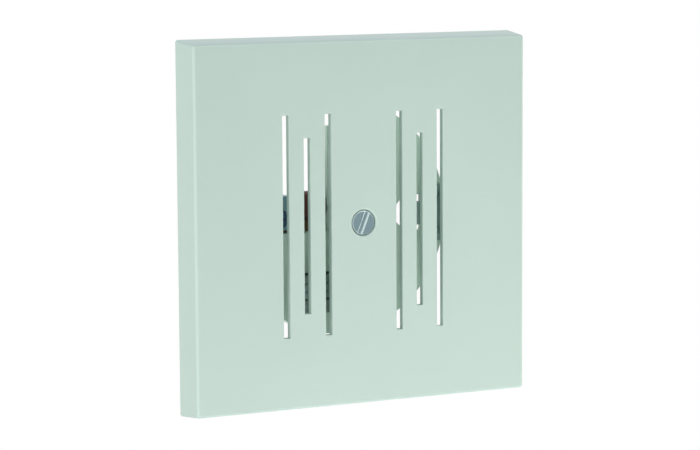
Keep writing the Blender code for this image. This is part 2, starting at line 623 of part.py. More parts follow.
def make_tamper(body_mat, plunger_mat):
    """Make the cover contact: a switch body on the board and the plunger that the cover holds down."""
    half = TAMPER_SIDE / 2
    bm = bmesh.new()
    add_box(bm, (-half, 0, -half), (half, TAMPER_DEPTH, half))
    front = MOUNT_FRONT - TAMPER_DEPTH
    body = place("tamper_switch", bm, body_mat, (TAMPER_X, front, TAMPER_Z))
    bore = bmesh.new()
    add_pin(bore, 0, 0, PLUNGER_RADIUS + FIT, -OVERRUN, TAMPER_BORE_DEPTH, SMALL_ROUND)
    shape(body, bore, "DIFFERENCE", "bore")
    length = front + TAMPER_BORE_DEPTH - TAMPER_TRAVEL - FIT - PLUNGER_TIP
    bm = bmesh.new()
    add_pin(bm, 0, 0, PLUNGER_RADIUS, 0, length, SMALL_ROUND)
    place("tamper_plunger", bm, plunger_mat, (TAMPER_X, PLUNGER_TIP, TAMPER_Z))


def pole_places():
    """Give the X of each pole of the terminal block."""
    return (TERMINAL_X - POLE_PITCH / 2, TERMINAL_X + POLE_PITCH / 2)


def make_terminal(block_mat, screw_mat, cage_mat):
    """Make the terminal block with a screw and a rising clamp cage in each pole."""
    bm = bmesh.new()
    half_x = TERMINAL_WIDTH / 2
    half_z = TERMINAL_HEIGHT / 2
    add_box(bm, (-half_x, 0, -half_z), (half_x, TERMINAL_DEPTH, half_z))
    block = place("terminal_block", bm, block_mat, (TERMINAL_X, TERMINAL_FRONT, TERMINAL_Z))

    shoulder = CLAMP_HEAD_SINK + CLAMP_HEAD_HEIGHT + FIT
    chamber = shoulder + CLAMP_SHOULDER
    cage_open = chamber + CHAMBER_DEPTH - FIT - CAGE_DEPTH
    axis_z = POLE_Z - TERMINAL_Z
    cage_low = axis_z - CAGE_LENGTH / 2
    neck = CLAMP_SHAFT_RADIUS + FIT
    wells = bmesh.new()
    chambers = bmesh.new()
    for x in pole_places():
        local = x - TERMINAL_X
        add_turned(wells, [(0, -OVERRUN), (CLAMP_WELL_RADIUS, -OVERRUN), (CLAMP_WELL_RADIUS, shoulder),
                           (neck, shoulder), (neck, chamber + BED), (0, chamber + BED)],
                   SMALL_ROUND, (local, 0, axis_z))
        add_box(chambers, (local - CHAMBER_WIDTH / 2, chamber, cage_low - FIT),
                (local + CHAMBER_WIDTH / 2, chamber + CHAMBER_DEPTH, half_z + OVERRUN))
    shape(block, chambers, "DIFFERENCE", "chambers")
    shape(block, wells, "DIFFERENCE", "wells")

    for number, x in enumerate(pole_places(), start=1):
        bm = bmesh.new()
        end = CLAMP_HEAD_HEIGHT + CLAMP_SHAFT_LENGTH
        add_turned(bm, [(0, 0), (CLAMP_HEAD_RADIUS, 0), (CLAMP_HEAD_RADIUS, CLAMP_HEAD_HEIGHT),
                        (CLAMP_SHAFT_RADIUS, CLAMP_HEAD_HEIGHT), (CLAMP_SHAFT_RADIUS, end), (0, end)],
                   SMALL_ROUND)
        head_top = TERMINAL_FRONT + CLAMP_HEAD_SINK
        screw = place(f"terminal_screw_{number}", bm, screw_mat, (x, head_top, POLE_Z))
        slot = bmesh.new()
        reach = CLAMP_HEAD_RADIUS + OVERRUN
        half_slot = CLAMP_SLOT_WIDTH / 2
        add_box(slot, (-reach, -OVERRUN, -half_slot), (reach, CLAMP_SLOT_DEPTH, half_slot))
        shape(screw, slot, "DIFFERENCE", "slot")

        half_cage = CHAMBER_WIDTH / 2 - FIT
        bm = bmesh.new()
        add_box(bm, (-half_cage, 0, -CAGE_LENGTH / 2), (half_cage, CAGE_DEPTH, CAGE_LENGTH / 2))
        cage = place(f"clamp_cage_{number}", bm, cage_mat, (x, TERMINAL_FRONT + cage_open, POLE_Z))
        mouth = bmesh.new()
        half_mouth = half_cage - CAGE_WALL_X
        reach = CAGE_LENGTH / 2 + OVERRUN
        add_box(mouth, (-half_mouth, CAGE_WALL_Y, -reach), (half_mouth, CAGE_DEPTH - CAGE_WALL_Y, reach))
        shape(cage, mouth, "DIFFERENCE", "mouth")
        tap = bmesh.new()
        add_pin(tap, 0, 0, neck, -OVERRUN, CAGE_DEPTH / 2, SMALL_ROUND)
        shape(cage, tap, "DIFFERENCE", "tap")


def make_sounder(case_mat, cap_mat, plate_mat, ceramic_mat):
    """Make the sounder capsule: a ported case, a piezo disc on its ledge and the cap that clamps it."""
    centre = (SOUNDER_X, SOUNDER_FACE, SOUNDER_Z)
    bore = SOUNDER_RADIUS - SOUNDER_WALL
    ledge = SOUNDER_FRONT + LEDGE_DEPTH
    bm = bmesh.new()
    add_turned(bm, [(SOUNDER_PORT, 0), (SOUNDER_RADIUS, 0), (SOUNDER_RADIUS, SOUNDER_DEPTH),
                    (bore, SOUNDER_DEPTH), (bore, ledge), (bore - LEDGE_WIDTH, ledge),
                    (bore - LEDGE_WIDTH, SOUNDER_FRONT), (SOUNDER_PORT, SOUNDER_FRONT)], ROUND)
    place("sounder_case", bm, case_mat, centre)

    plate_front = ledge + FIT
    ceramic_front = plate_front + PIEZO_THICK + FIT
    bm = bmesh.new()
    add_pin(bm, 0, 0, bore - FIT, plate_front, plate_front + PIEZO_THICK, ROUND)
    place("piezo_plate", bm, plate_mat, centre)
    bm = bmesh.new()
    add_pin(bm, 0, 0, CERAMIC_RADIUS, ceramic_front, ceramic_front + CERAMIC_THICK, ROUND)
    place("piezo_ceramic", bm, ceramic_mat, centre)

    cap_rear = SOUNDER_DEPTH - CAP_SINK
    cap_plate = cap_rear - CAP_PLATE
    outer = bore - FIT
    bm = bmesh.new()
    add_turned(bm, [(LEAD_HOLE, cap_plate), (outer - CAP_RIM, cap_plate), (outer - CAP_RIM, ceramic_front),
                    (outer, ceramic_front), (outer, cap_rear), (LEAD_HOLE, cap_rear)], ROUND)
    place("sounder_cap", bm, cap_mat, centre)
    return SOUNDER_FACE + ceramic_front, SOUNDER_FACE + cap_rear


def smooth_route(points):
    """Read a smooth curve through the points of a lead's route."""
    points = [Vector(p) for p in points]
    ends = [2 * points[0] - points[1]] + points + [2 * points[-1] - points[-2]]
    route = []
    for a, b, c, d in zip(ends, ends[1:], ends[2:], ends[3:]):
        for step in range(LEAD_STEPS):
            t = step / LEAD_STEPS
            route.append(0.5 * (2 * b + (c - a) * t + (2 * a - 5 * b + 4 * c - d) * t ** 2
                                + (3 * b - a - 3 * c + d) * t ** 3))
    return route + [points[-1]]


def make_lead(name, points, mat):
    """Make one insulated lead as a round tube along its route."""
    curve = bpy.data.curves.new(name, "CURVE")
    curve.dimensions = "3D"
    curve.bevel_depth = LEAD_RADIUS
    curve.bevel_resolution = 2
    curve.use_fill_caps = True
    route = smooth_route(points)
    spline = curve.splines.new("POLY")
    spline.points.add(len(route) - 1)
    for point, place_on_route in zip(spline.points, route):
        point.co = (*place_on_route, 1.0)
    curve.materials.append(mat)
    lead = bpy.data.objects.new(name, curve)
    bpy.context.collection.objects.link(lead)
    lead.parent = ROOT


def make_leads(ceramic_front, cap_rear, red_mat, black_mat):
    """Make the two leads from the piezo disc, out of the cap and round to the board."""
    inside = ceramic_front + CERAMIC_THICK + FIT
    bow = cap_rear + LEAD_RISE
    pad = MOUNT_REAR
    for name, side, mat in (("sounder_lead_red", 1, red_mat), ("sounder_lead_black", -1, black_mat)):
        x = SOUNDER_X + side * LEAD_SPREAD
        pad_x = LEAD_PAD_X + side * 2 * LEAD_SPREAD
        middle_x = (x + pad_x) / 2
        middle_z = (SOUNDER_Z + LEAD_PAD_Z) / 2
        make_lead(name, [(x, inside, SOUNDER_Z), (x, cap_rear, SOUNDER_Z),
                         (x, cap_rear + LEAD_RISE / 2, SOUNDER_Z + LEAD_BEND),
                         (middle_x, bow, middle_z),
                         (pad_x, bow - LEAD_RISE / 2, LEAD_PAD_Z - LEAD_DROP),
                         (pad_x, pad + LEAD_RISE, LEAD_PAD_Z),
                         (pad_x, pad, LEAD_PAD_Z)], mat)


def make_rear_parts(can_mat, chip_mat, resistor_mat):
    """Make the capacitor, driver chip and resistors behind the board."""
    half = CAPACITOR_LENGTH / 2
    groove = CAPACITOR_RADIUS - CAPACITOR_GROOVE
    bm = bmesh.new()
    add_turned(bm, [(0, -half), (groove, -half), (CAPACITOR_RADIUS, CAPACITOR_GROOVE - half),
                    (CAPACITOR_RADIUS, half - 5 * CAPACITOR_GROOVE), (groove, half - 4 * CAPACITOR_GROOVE),
                    (groove, half - 3 * CAPACITOR_GROOVE), (CAPACITOR_RADIUS, half - 2 * CAPACITOR_GROOVE),
                    (CAPACITOR_RADIUS, half), (0, half)], SMALL_ROUND, axis="X")
    place("capacitor", bm, can_mat, (CAPACITOR_X, MOUNT_REAR + CAPACITOR_RADIUS, CAPACITOR_Z))
    bm = bmesh.new()
    add_box(bm, (-CHIP_WIDTH / 2, 0, -CHIP_HEIGHT / 2), (CHIP_WIDTH / 2, CHIP_THICK, CHIP_HEIGHT / 2))
    place("driver_chip", bm, chip_mat, (CHIP_X, MOUNT_REAR, CHIP_Z))
    for step in range(RESISTOR_COUNT):
        bm = bmesh.new()
        add_box(bm, (-RESISTOR_WIDTH / 2, 0, -RESISTOR_LENGTH / 2),
                (RESISTOR_WIDTH / 2, RESISTOR_THICK, RESISTOR_LENGTH / 2))
        x = RESISTOR_X + step * RESISTOR_PITCH
        place(f"resistor_{step + 1}", bm, resistor_mat, (x, MOUNT_REAR, RESISTOR_Z))


def main():
    """Build the siren from the front to the back."""
    global ROOT
    clear_scene()
    ROOT = bpy.data.objects.new("siren", None)
    bpy.context.collection.objects.link(ROOT)

    shell = material("cover_plastic", (0.56, 0.66, 0.61), 0.45)
    light = material("carrier_plastic", (0.60, 0.68, 0.63), 0.55)
    zinc = material("zinc_steel", (0.38, 0.46, 0.47), 0.35, 1.0)
    brass = material("brass", (0.70, 0.52, 0.22), 0.35, 1.0)
    black = material("black_plastic", (0.02, 0.02, 0.02), 0.5)
    nylon = material("nylon", (0.78, 0.78, 0.74), 0.5)

    make_cover(shell)
    make_cover_screw(zinc)
    make_washer(nylon)
    make_base(light)
    make_insert(brass)
    make_lug("lug_left", -1, zinc)
    make_lug("lug_right", 1, zinc)
    make_rivets(zinc)
    make_board(material("board_laminate", (0.35, 0.24, 0.10), 0.5))
    make_board_screws(zinc)
    make_trimmer(material("trimmer_blue", (0.06, 0.16, 0.30), 0.4),
                 material("rotor_blue", (0.02, 0.06, 0.12), 0.4))
    make_coil(material("ferrite", (0.04, 0.04, 0.04), 0.6), material("sleeve_brown", (0.10, 0.03, 0.02), 0.5))
    make_transistor(black)
    make_tamper(black, nylon)
    make_terminal(material("terminal_grey", (0.05, 0.07, 0.06), 0.5), zinc, brass)
    ends = make_sounder(black, material("cap_plastic", (0.05, 0.05, 0.05), 0.6), brass,
                        material("ceramic", (0.72, 0.70, 0.64), 0.4))
    make_leads(*ends, material("lead_red", (0.45, 0.03, 0.03), 0.4),
               material("lead_black", (0.02, 0.02, 0.02), 0.4))
    make_rear_parts(material("can_sleeve", (0.03, 0.05, 0.09), 0.35), black,
                    material("resistor_black", (0.03, 0.03, 0.03), 0.4))


main()
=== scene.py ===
"""Finished looks of a flush-mounted alarm siren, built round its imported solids.

Metres, +Z up. X runs to the right, Y into the wall, as in the frame.
"""

import logging
from dataclasses import dataclass
from enum import Enum
from functools import lru_cache
from math import cos, hypot, pi, radians, sin, tan
from typing import Iterable, Protocol, Sequence

import bmesh
import bpy
from mathutils import Matrix, Vector


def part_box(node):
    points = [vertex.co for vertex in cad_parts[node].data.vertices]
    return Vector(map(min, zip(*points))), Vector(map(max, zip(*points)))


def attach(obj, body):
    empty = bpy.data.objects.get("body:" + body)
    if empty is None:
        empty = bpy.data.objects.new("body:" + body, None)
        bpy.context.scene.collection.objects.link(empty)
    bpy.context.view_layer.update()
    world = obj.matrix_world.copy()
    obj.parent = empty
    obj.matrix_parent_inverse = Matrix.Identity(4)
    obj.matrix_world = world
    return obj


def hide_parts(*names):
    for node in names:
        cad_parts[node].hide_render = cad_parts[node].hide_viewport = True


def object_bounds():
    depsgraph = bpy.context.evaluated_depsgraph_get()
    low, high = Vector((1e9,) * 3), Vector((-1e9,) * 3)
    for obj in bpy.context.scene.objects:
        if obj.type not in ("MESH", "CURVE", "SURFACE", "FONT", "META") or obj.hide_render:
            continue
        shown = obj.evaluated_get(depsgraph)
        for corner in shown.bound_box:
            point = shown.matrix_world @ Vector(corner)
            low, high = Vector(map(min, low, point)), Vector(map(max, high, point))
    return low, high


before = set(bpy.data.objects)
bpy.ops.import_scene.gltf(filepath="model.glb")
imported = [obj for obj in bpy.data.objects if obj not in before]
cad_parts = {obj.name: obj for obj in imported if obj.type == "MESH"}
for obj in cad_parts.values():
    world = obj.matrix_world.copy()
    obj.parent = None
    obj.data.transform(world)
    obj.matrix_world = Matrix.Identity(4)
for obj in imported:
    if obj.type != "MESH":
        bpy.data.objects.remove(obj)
CAD_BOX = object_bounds()

Colour = tuple[float, float, float]
Point = tuple[float, float, float]
Flat = tuple[float, float]

GAP = 0.0003                 # clearance between neighbouring pieces
EMBED = 0.0004               # how deep a joined form sinks into its neighbour
OVERRUN = 0.0010             # how far a cut runs past the face that it opens
MERGE = 1e-6                 # points closer than this are one point
ROUND = 64                   # facets of a turned piece
SMALL_ROUND = 32             # facets of a small turned piece

log = logging.getLogger("siren")


class Slot(Enum):
    """The record's material slots."""

    COVER = "cover"
    CARRIER = "carrier"
    ZINC = "zinc"
    BRASS = "brass"
    BLACK = "black_plastic"
    NYLON = "nylon"
    BOARD = "board"
    TRIMMER = "trimmer"
    FERRITE = "ferrite"
    SLEEVE = "sleeve"
    TERMINAL = "terminal"
    CERAMIC = "ceramic"
    LEAD_RED = "lead_red"
    LEAD_BLACK = "lead_black"
    CAN = "can_sleeve"


class Axis(Enum):
    """The line that a piece is turned round."""

    X = (1, 0, 0)
    Y = (0, 1, 0)


class Lines(Enum):
    """The marks that a tool leaves on metal."""

    ROLLED = "rolled"
    TURNED = "turned"


class Value:
    """A node socket that stands in Python expressions of numbers."""

    def __init__(self, tree: "Tree", socket: bpy.types.NodeSocket) -> None:
        """Wrap a socket of a tree."""
        self.tree = tree
        self.socket = socket

    def _math(self, operation: str, *terms: "Value | float") -> "Value":
        """Add a Math node on one or two terms."""
        return self.tree.node("ShaderNodeMath", {"operation": operation}, dict(enumerate(terms)))

    def __add__(self, other: "Value | float") -> "Value":
        """Add."""
        return self._math("ADD", self, other)

    def __radd__(self, other: float) -> "Value":
        """Add to a number."""
        return self._math("ADD", other, self)

    def __sub__(self, other: "Value | float") -> "Value":
        """Take away."""
        return self._math("SUBTRACT", self, other)

    def __rsub__(self, other: float) -> "Value":
        """Take away from a number."""
        return self._math("SUBTRACT", other, self)

    def __mul__(self, other: "Value | float") -> "Value":
        """Multiply."""
        return self._math("MULTIPLY", self, other)

    def __rmul__(self, other: float) -> "Value":
        """Multiply a number."""
        return self._math("MULTIPLY", other, self)

    def __truediv__(self, other: "Value | float") -> "Value":
        """Divide."""
        return self._math("DIVIDE", self, other)

    def __gt__(self, other: "Value | float") -> "Value":
        """Give 1 where this is the greater, and 0 elsewhere."""
        return self._math("GREATER_THAN", self, other)

    def __lt__(self, other: "Value | float") -> "Value":
        """Give 1 where this is the smaller, and 0 elsewhere."""
        return self._math("LESS_THAN", self, other)

    def __abs__(self) -> "Value":
        """Drop the sign."""
        return self._math("ABSOLUTE", self)

    def power(self, other: float) -> "Value":
        """Raise to a power."""
        return self._math("POWER", self, other)

    def sine(self) -> "Value":
        """Give the sine of an angle."""
        return self._math("SINE", self)

    def cosine(self) -> "Value":
        """Give the cosine of an angle."""
        return self._math("COSINE", self)

    def fraction(self) -> "Value":
        """Keep what follows the point."""
        return self._math("FRACT", self)

    def least(self, other: "Value | float") -> "Value":
        """Give the smaller of two."""
        return self._math("MINIMUM", self, other)

    def most(self, other: "Value | float") -> "Value":
        """Give the greater of two."""
        return self._math("MAXIMUM", self, other)


class Tree:
    """A node tree that is filled from Python."""

    def __init__(self, tree: bpy.types.NodeTree) -> None:
        """Take over a node tree."""
        self.tree = tree

    def node(self, kind: str, settings: dict | None = None, sockets: dict | None = None,
             output: int | str = 0) -> Value:
        """Add a node.

        Args:
            kind: the node's type.
            settings: its properties, which are set first.
            sockets: values or links of its inputs, by index or name.
            output: index or name of the output that is wanted.

        Returns:
            The wanted output.
        """
        made = self.tree.nodes.new(kind)
        for name, setting in (settings or {}).items():
            setattr(made, name, setting)
        for key, value in (sockets or {}).items():
            self.link(made.inputs[key], value)
        return Value(self, made.outputs[output])

    def link(self, socket: bpy.types.NodeSocket, value: object) -> None:
        """Give a socket a link, a colour or a plain value."""
        if isinstance(value, Value):
            self.tree.links.new(value.socket, socket)
        elif socket.type == "RGBA":
            socket.default_value = (*value, 1.0)
        else:
            socket.default_value = value

    def blend(self, mask: Value, first: "Value | Colour", second: "Value | Colour") -> Value:
        """Mix two colours by a mask."""
        return self.node("ShaderNodeMix", {"data_type": "RGBA"}, {0: mask, 6: first, 7: second}, 2)


class ShaderTree(Tree):
    """The tree of one material, which ends in a Principled shader."""

    def __init__(self, name: str) -> None:
        """Start a material."""
        self.material = bpy.data.materials.new(name)
        self.material.use_nodes = True
        super().__init__(self.material.node_tree)
        self.shader = self.tree.nodes["Principled BSDF"]

    def feed(self, name: str, value: object) -> None:
        """Give one of the shader's sockets its value or link."""
        self.link(self.shader.inputs[name], value)

    def coordinates(self) -> Value:
        """Give the place on the piece, in metres."""
        return self.node("ShaderNodeTexCoord", output="Object")

    def part(self, vector: Value, axis: str) -> Value:
        """Give one of a vector's three numbers."""
        return self.node("ShaderNodeSeparateXYZ", {}, {0: vector}, axis)

    def reach(self, vector: Value) -> Value:
        """Give the distance from the Y axis."""
        x, z = self.part(vector, "X"), self.part(vector, "Z")
        return (x * x + z * z).power(0.5)

    def stretched(self, vector: Value, scale: Point) -> Value:
        """Stretch a pattern's coordinates."""
        return self.node("ShaderNodeMapping", {}, {"Vector": vector, "Scale": scale})

    def noise(self, vector: Value, size: float, detail: float = 2.0) -> Value:
        """Give a cloudy pattern from 0 to 1.

        Args:
            vector: where on the piece.
            size: width of one cloud, in metres.
            detail: how many finer layers lie on it.

        Returns:
            The pattern.
        """
        return self.node("ShaderNodeTexNoise", {}, {"Vector": vector, "Scale": 1 / size, "Detail": detail})

    def bump(self, height: Value, depth: float) -> None:
        """Raise the surface by a pattern, up to a depth in metres."""
        relief = self.node("ShaderNodeBump", {}, {"Height": height, "Distance": depth, "Strength": 1.0})
        self.feed("Normal", relief)


class GeometryTree(Tree):
    """A Geometry Nodes tree with named inputs."""

    def __init__(self, name: str) -> None:
        """Start a tree with the host's geometry as its first input."""
        super().__init__(bpy.data.node_groups.new(name, "GeometryNodeTree"))
        self.identifiers: dict[str, str] = {}
        self.entry = self.tree.nodes.new("NodeGroupInput")
        self.host = self.input("Host", "NodeSocketGeometry")
        self.tree.interface.new_socket("Result", in_out="OUTPUT", socket_type="NodeSocketGeometry")

    def input(self, name: str, kind: str = "NodeSocketFloat") -> Value:
        """Add a named input of the tree."""
        item = self.tree.interface.new_socket(name, in_out="INPUT", socket_type=kind)
        self.identifiers[name] = item.identifier
        return Value(self, self.entry.outputs[name])

    def inputs(self, *names: str) -> list[Value]:
        """Add several named numbers."""
        return [self.input(name) for name in names]

    def vector(self, x: "Value | float", y: "Value | float", z: "Value | float") -> Value:
        """Put three numbers together."""
        return self.node("ShaderNodeCombineXYZ", {}, {0: x, 1: y, 2: z})

    def close(self, geometry: Value) -> None:
        """End the tree in real copies that wear their finish."""
        real = self.node("GeometryNodeRealizeInstances", {}, {0: geometry})
        finish = self.input("Finish", "NodeSocketMaterial")
        dressed = self.node("GeometryNodeSetMaterial", {}, {"Geometry": real, "Material": finish})
        end = self.tree.nodes.new("NodeGroupOutput")
        self.tree.links.new(dressed.socket, end.inputs[0])

    def run(self, shape: "Shape", values: dict[str, object]) -> "Shape":
        """Run the tree on a shape and keep the result as its mesh.

        Args:
            shape: the host.
            values: the inputs by name.

        Returns:
            The same shape.
        """
        modifier = shape.piece.modifiers.new(self.tree.name, "NODES")
        modifier.node_group = self.tree
        for name, value in values.items():
            modifier[self.identifiers[name]] = value
        return shape.bake()


class Shape:
    """A mesh piece under construction, in the frame's own place."""

    def __init__(self, name: str, bm: bmesh.types.BMesh, outward: bool = True) -> None:
        """Start a piece.

        Args:
            name: the piece's name.
            bm: its mesh, which is used up.
            outward: whether its closed bodies get their faces turned outwards.
        """
        if outward:
            bmesh.ops.recalc_face_normals(bm, faces=bm.faces)
        mesh = bpy.data.meshes.new(name)
        bm.to_mesh(mesh)
        bm.free()
        self.piece = bpy.data.objects.new(name, mesh)
        bpy.context.scene.collection.objects.link(self.piece)

    @classmethod
    def of_node(cls, name: str, node: str) -> "Shape":
        """Start a piece from a merged copy of a solid."""
        bm = bmesh.new()
        bm.from_mesh(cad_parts[node].data)
        bmesh.ops.remove_doubles(bm, verts=bm.verts, dist=MERGE)
        bmesh.ops.join_triangles(bm, faces=bm.faces, angle_face_threshold=radians(1),
                                 angle_shape_threshold=radians(180))
        return cls(name, bm, outward=False)

    def bake(self) -> "Shape":
        """Make the modifiers' result the piece's own mesh."""
        graph = bpy.context.evaluated_depsgraph_get()
        mesh = bpy.data.meshes.new_from_object(self.piece.evaluated_get(graph))
        self.piece.modifiers.clear()
        self.piece.data = mesh
        return self

    def combine(self, tool: "Shape", operation: str) -> "Shape":
        """Cut the piece with another shape, or join them, and drop the other."""
        modifier = self.piece.modifiers.new(operation, "BOOLEAN")
        modifier.operation = operation
        modifier.solver = "EXACT"
        modifier.object = tool.piece
        self.bake()
        bpy.data.objects.remove(tool.piece)
        return self

    def cut(self, bm: bmesh.types.BMesh) -> "Shape":
        """Take the bodies of a mesh away."""
        return self.combine(Shape("cutter", bm), "DIFFERENCE")

    def join(self, bm: bmesh.types.BMesh) -> "Shape":
        """Add the bodies of a mesh."""
        return self.combine(Shape("addition", bm), "UNION")

    def soften(self, width: float, segments: int = 2, angle: float = radians(35)) -> "Shape":
        """Round every edge that is sharper than an angle.

        Args:
            width: width of the rounding.
            segments: facets across it.
            angle: the least angle between two faces whose edge is rounded.

        Returns:
            The same shape.
        """
        self.piece.data.shade_smooth()
        modifier = self.piece.modifiers.new("soften", "BEVEL")
        modifier.width = width
        modifier.segments = segments
        modifier.limit_method = "ANGLE"
        modifier.angle_limit = angle
        modifier.use_clamp_overlap = False
        modifier.harden_normals = True
        return self.bake()

    def subdivide(self, levels: int) -> "Shape":
        """Smooth the piece as a subdivision surface."""
        self.piece.data.shade_smooth()
        modifier = self.piece.modifiers.new("subdivide", "SUBSURF")
        modifier.levels = levels
        modifier.render_levels = levels
        return self.bake()

    def smooth(self, angle: float = radians(35)) -> "Shape":
        """Shade the piece smooth, with its sharp edges kept."""
        self.piece.data.shade_smooth()
        self.piece.data.set_sharp_from_angle(angle=angle)
        return self

    def fit(self, finish: "Finish", body: str, slot: Slot, *nodes: str) -> bpy.types.Object:
        """Dress the finished piece and fix it to its body.

        Args:
            finish: what its surface is.
            body: the body that it rides on.
            slot: the record's material slot; not used.
            nodes: the solids that it stands for.

        Returns:
            The piece.
        """
        self.piece.data.materials.clear()
        self.piece.data.materials.append(made(finish))
        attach(self.piece, body)
        if nodes:
            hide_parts(*nodes)
        log.info("%s: %d faces on %s", self.piece.name, len(self.piece.data.polygons), body)
        return self.piece


class Finish(Protocol):
    """Anything that can make a material."""

    def material(self) -> bpy.types.Material:
        """Make the material."""


@lru_cache(maxsize=None)
def made(finish: Finish) -> bpy.types.Material:
    """Give a finish's material, made once."""
    return finish.material()


def tint(colour: Colour, factor: float) -> Colour:
    """Make a colour lighter or darker."""
    return tuple(min(1.0, part * factor) for part in colour)


@dataclass(frozen=True)
class MouldedPlastic:
    """Moulded plastic: faint clouds in its colour, fine grain and uneven gloss."""

    name: str
    colour: Colour
    roughness: float = 0.45
    specular: float = 0.3
    mottle: float = 0.03
    cloud_size: float = 0.012
    grain_size: float = 0.00035
    relief: float = 0.000008
    gloss_spread: float = 0.16

    def base(self, shader: ShaderTree, place: Value) -> Value:
        """Give the colour: two shades that run into each other in clouds."""
        cloud = shader.noise(place, self.cloud_size, 2.0)
        return shader.blend(cloud, tint(self.colour, 1 - self.mottle), tint(self.colour, 1 + self.mottle))

    def material(self) -> bpy.types.Material:
        """Make the material."""
        shader = ShaderTree(self.name)
        place = shader.coordinates()
        grain = shader.noise(place, self.grain_size, 3.0)
        shader.feed("Base Color", self.base(shader, place))
        shader.feed("Roughness", self.roughness + (grain - 0.5) * self.gloss_spread)
        shader.feed("Specular IOR Level", self.specular)
        shader.bump(grain, self.relief)
        return shader.material


@dataclass(frozen=True)
class EdgeHighlightPlastic(MouldedPlastic):
    """Moulded plastic of a square cover, with a painted highlight along its front edges and in its screw's
    counterbore.
    """

    half: float = 0.040
    face: float = 0.0
    edge: float = 0.001
    bore: float = 0.003
    ring_share: float = 0.6
    spread: float = 2.0
    highlight_gain: float = 1.15

    def base(self, shader: ShaderTree, place: Value) -> Value:
        """Give the colour: the clouds, and a painted highlight along the front edges and round the screw's bore."""
        plain = super().base(shader, place)
        x, y, z = (shader.part(place, axis) for axis in "XYZ")
        # Painted highlight: the rounding of the front edges and the screw's counterbore are lightened to stand in for
        # light falling on them.
        outward = ((abs(x).most(abs(z)) - self.half) / self.edge + 1.0).most(0.0).least(1.0)
        forward = (1.0 - (y - self.face) / self.edge).most(0.0).least(1.0)
        ring = (shader.reach(place) < self.bore) * self.ring_share
        painted_highlight = (outward.most(ring) * forward * self.spread).least(1.0)
        return shader.blend(painted_highlight, plain, tint(self.colour, self.highlight_gain))


@dataclass(frozen=True)
class FloorPaint(MouldedPlastic):
    """Pale paint of the studio floor, lifted towards white where the camera sees it."""

    lift: Colour = (0.30, 0.30, 0.29)

    def material(self) -> bpy.types.Material:
        """Make the material."""
        material = super().material()
        shader = Tree(material.node_tree)
        seen = shader.node("ShaderNodeLightPath", output="Is Camera Ray")
        principled = material.node_tree.nodes["Principled BSDF"]
        shader.link(principled.inputs["Emission Color"], shader.blend(seen, (0.0, 0.0, 0.0), self.lift))
        shader.link(principled.inputs["Emission Strength"], 1.0)
        return material


@dataclass(frozen=True)
class WorkedMetal:
    """Plated or bare metal with the marks of its making and a patchy tarnish."""

    name: str
    colour: Colour
    tarnish: Colour
    roughness: float = 0.30
    lines: Lines = Lines.ROLLED
    line_size: float = 0.00009
    patch_size: float = 0.0022
    relief: float = 0.000006

    def marks(self, shader: ShaderTree, place: Value) -> Value:
        """Give the tool marks: straight, or round the Y axis."""
        if self.lines is Lines.ROLLED:
            return shader.noise(shader.stretched(place, (0.06, 1.0, 1.0)), self.line_size, 2.0)
        rings = shader.node("ShaderNodeCombineXYZ", {}, {0: shader.reach(place)})
        return shader.noise(rings, self.line_size, 2.0)

    def base(self, shader: ShaderTree, place: Value, patch: Value) -> Value:
        """Give the colour: bare metal that turns to tarnish in patches."""
        return shader.blend(patch, self.colour, self.tarnish)

    def material(self) -> bpy.types.Material:
        """Make the material."""
        shader = ShaderTree(self.name)
        place = shader.coordinates()
        marks = self.marks(shader, place)
        patch = shader.noise(place, self.patch_size, 4.0)
        shader.feed("Base Color", self.base(shader, place, patch))
        shader.feed("Metallic", 1.0)
        shader.feed("Roughness", self.roughness + (marks - 0.5) * 0.25 + (patch - 0.5) * 0.15)
        shader.bump(marks, self.relief)
        return shader.material


@dataclass(frozen=True)
class SlottedHead(WorkedMetal):
    """Turned metal of a screw on the Y axis, with a painted highlight along its slot's edges and its rim."""

    bright: Colour = (0.76, 0.88, 0.88)
    slot_half: float = 0.0005
    slot_turn: float = 0.0
    rim_radius: float = 0.0026
    rim_share: float = 0.6
    line: float = 0.00016

    def base(self, shader: ShaderTree, place: Value, patch: Value) -> Value:
        """Give the colour: tarnished metal with painted highlight lines along the slot's edges and on the rim."""
        plain = super().base(shader, place, patch)
        across = shader.part(place, "X") * cos(self.slot_turn) - shader.part(place, "Z") * sin(self.slot_turn)
        # Painted highlight: the slot's edges and the head's rim are blended towards a bright colour, varied by the
        # tarnish patches, to stand in for light catching them.
        slot_edge = abs(abs(across) - self.slot_half) < self.line
        rim = shader.reach(place) > self.rim_radius
        painted_highlight = slot_edge.most(rim * self.rim_share) * (0.5 + patch)
        return shader.blend(painted_highlight.least(1.0), plain, self.bright)


@dataclass(frozen=True)
class BoardLaminate:
    """Paper laminate of a circuit board, with fibres along one way and darker flecks."""

    name: str
    colour: Colour
    fleck: Colour
    fibre_size: float = 0.0005
    fleck_size: float = 0.0016
    relief: float = 0.000010

    def material(self) -> bpy.types.Material:
        """Make the material."""
        shader = ShaderTree(self.name)
        place = shader.coordinates()
        fibre = shader.noise(shader.stretched(place, (0.15, 1.0, 1.0)), self.fibre_size, 3.0)
        fleck = shader.noise(place, self.fleck_size, 4.0)
        base = shader.blend(fibre, tint(self.colour, 0.82), tint(self.colour, 1.18))
        shader.feed("Base Color", shader.blend(((fleck - 0.56) * 5.0).most(0.0).least(0.7), base, self.fleck))
        shader.feed("Roughness", 0.42 + (fibre - 0.5) * 0.25)
        shader.bump(fibre, self.relief)
        return shader.material


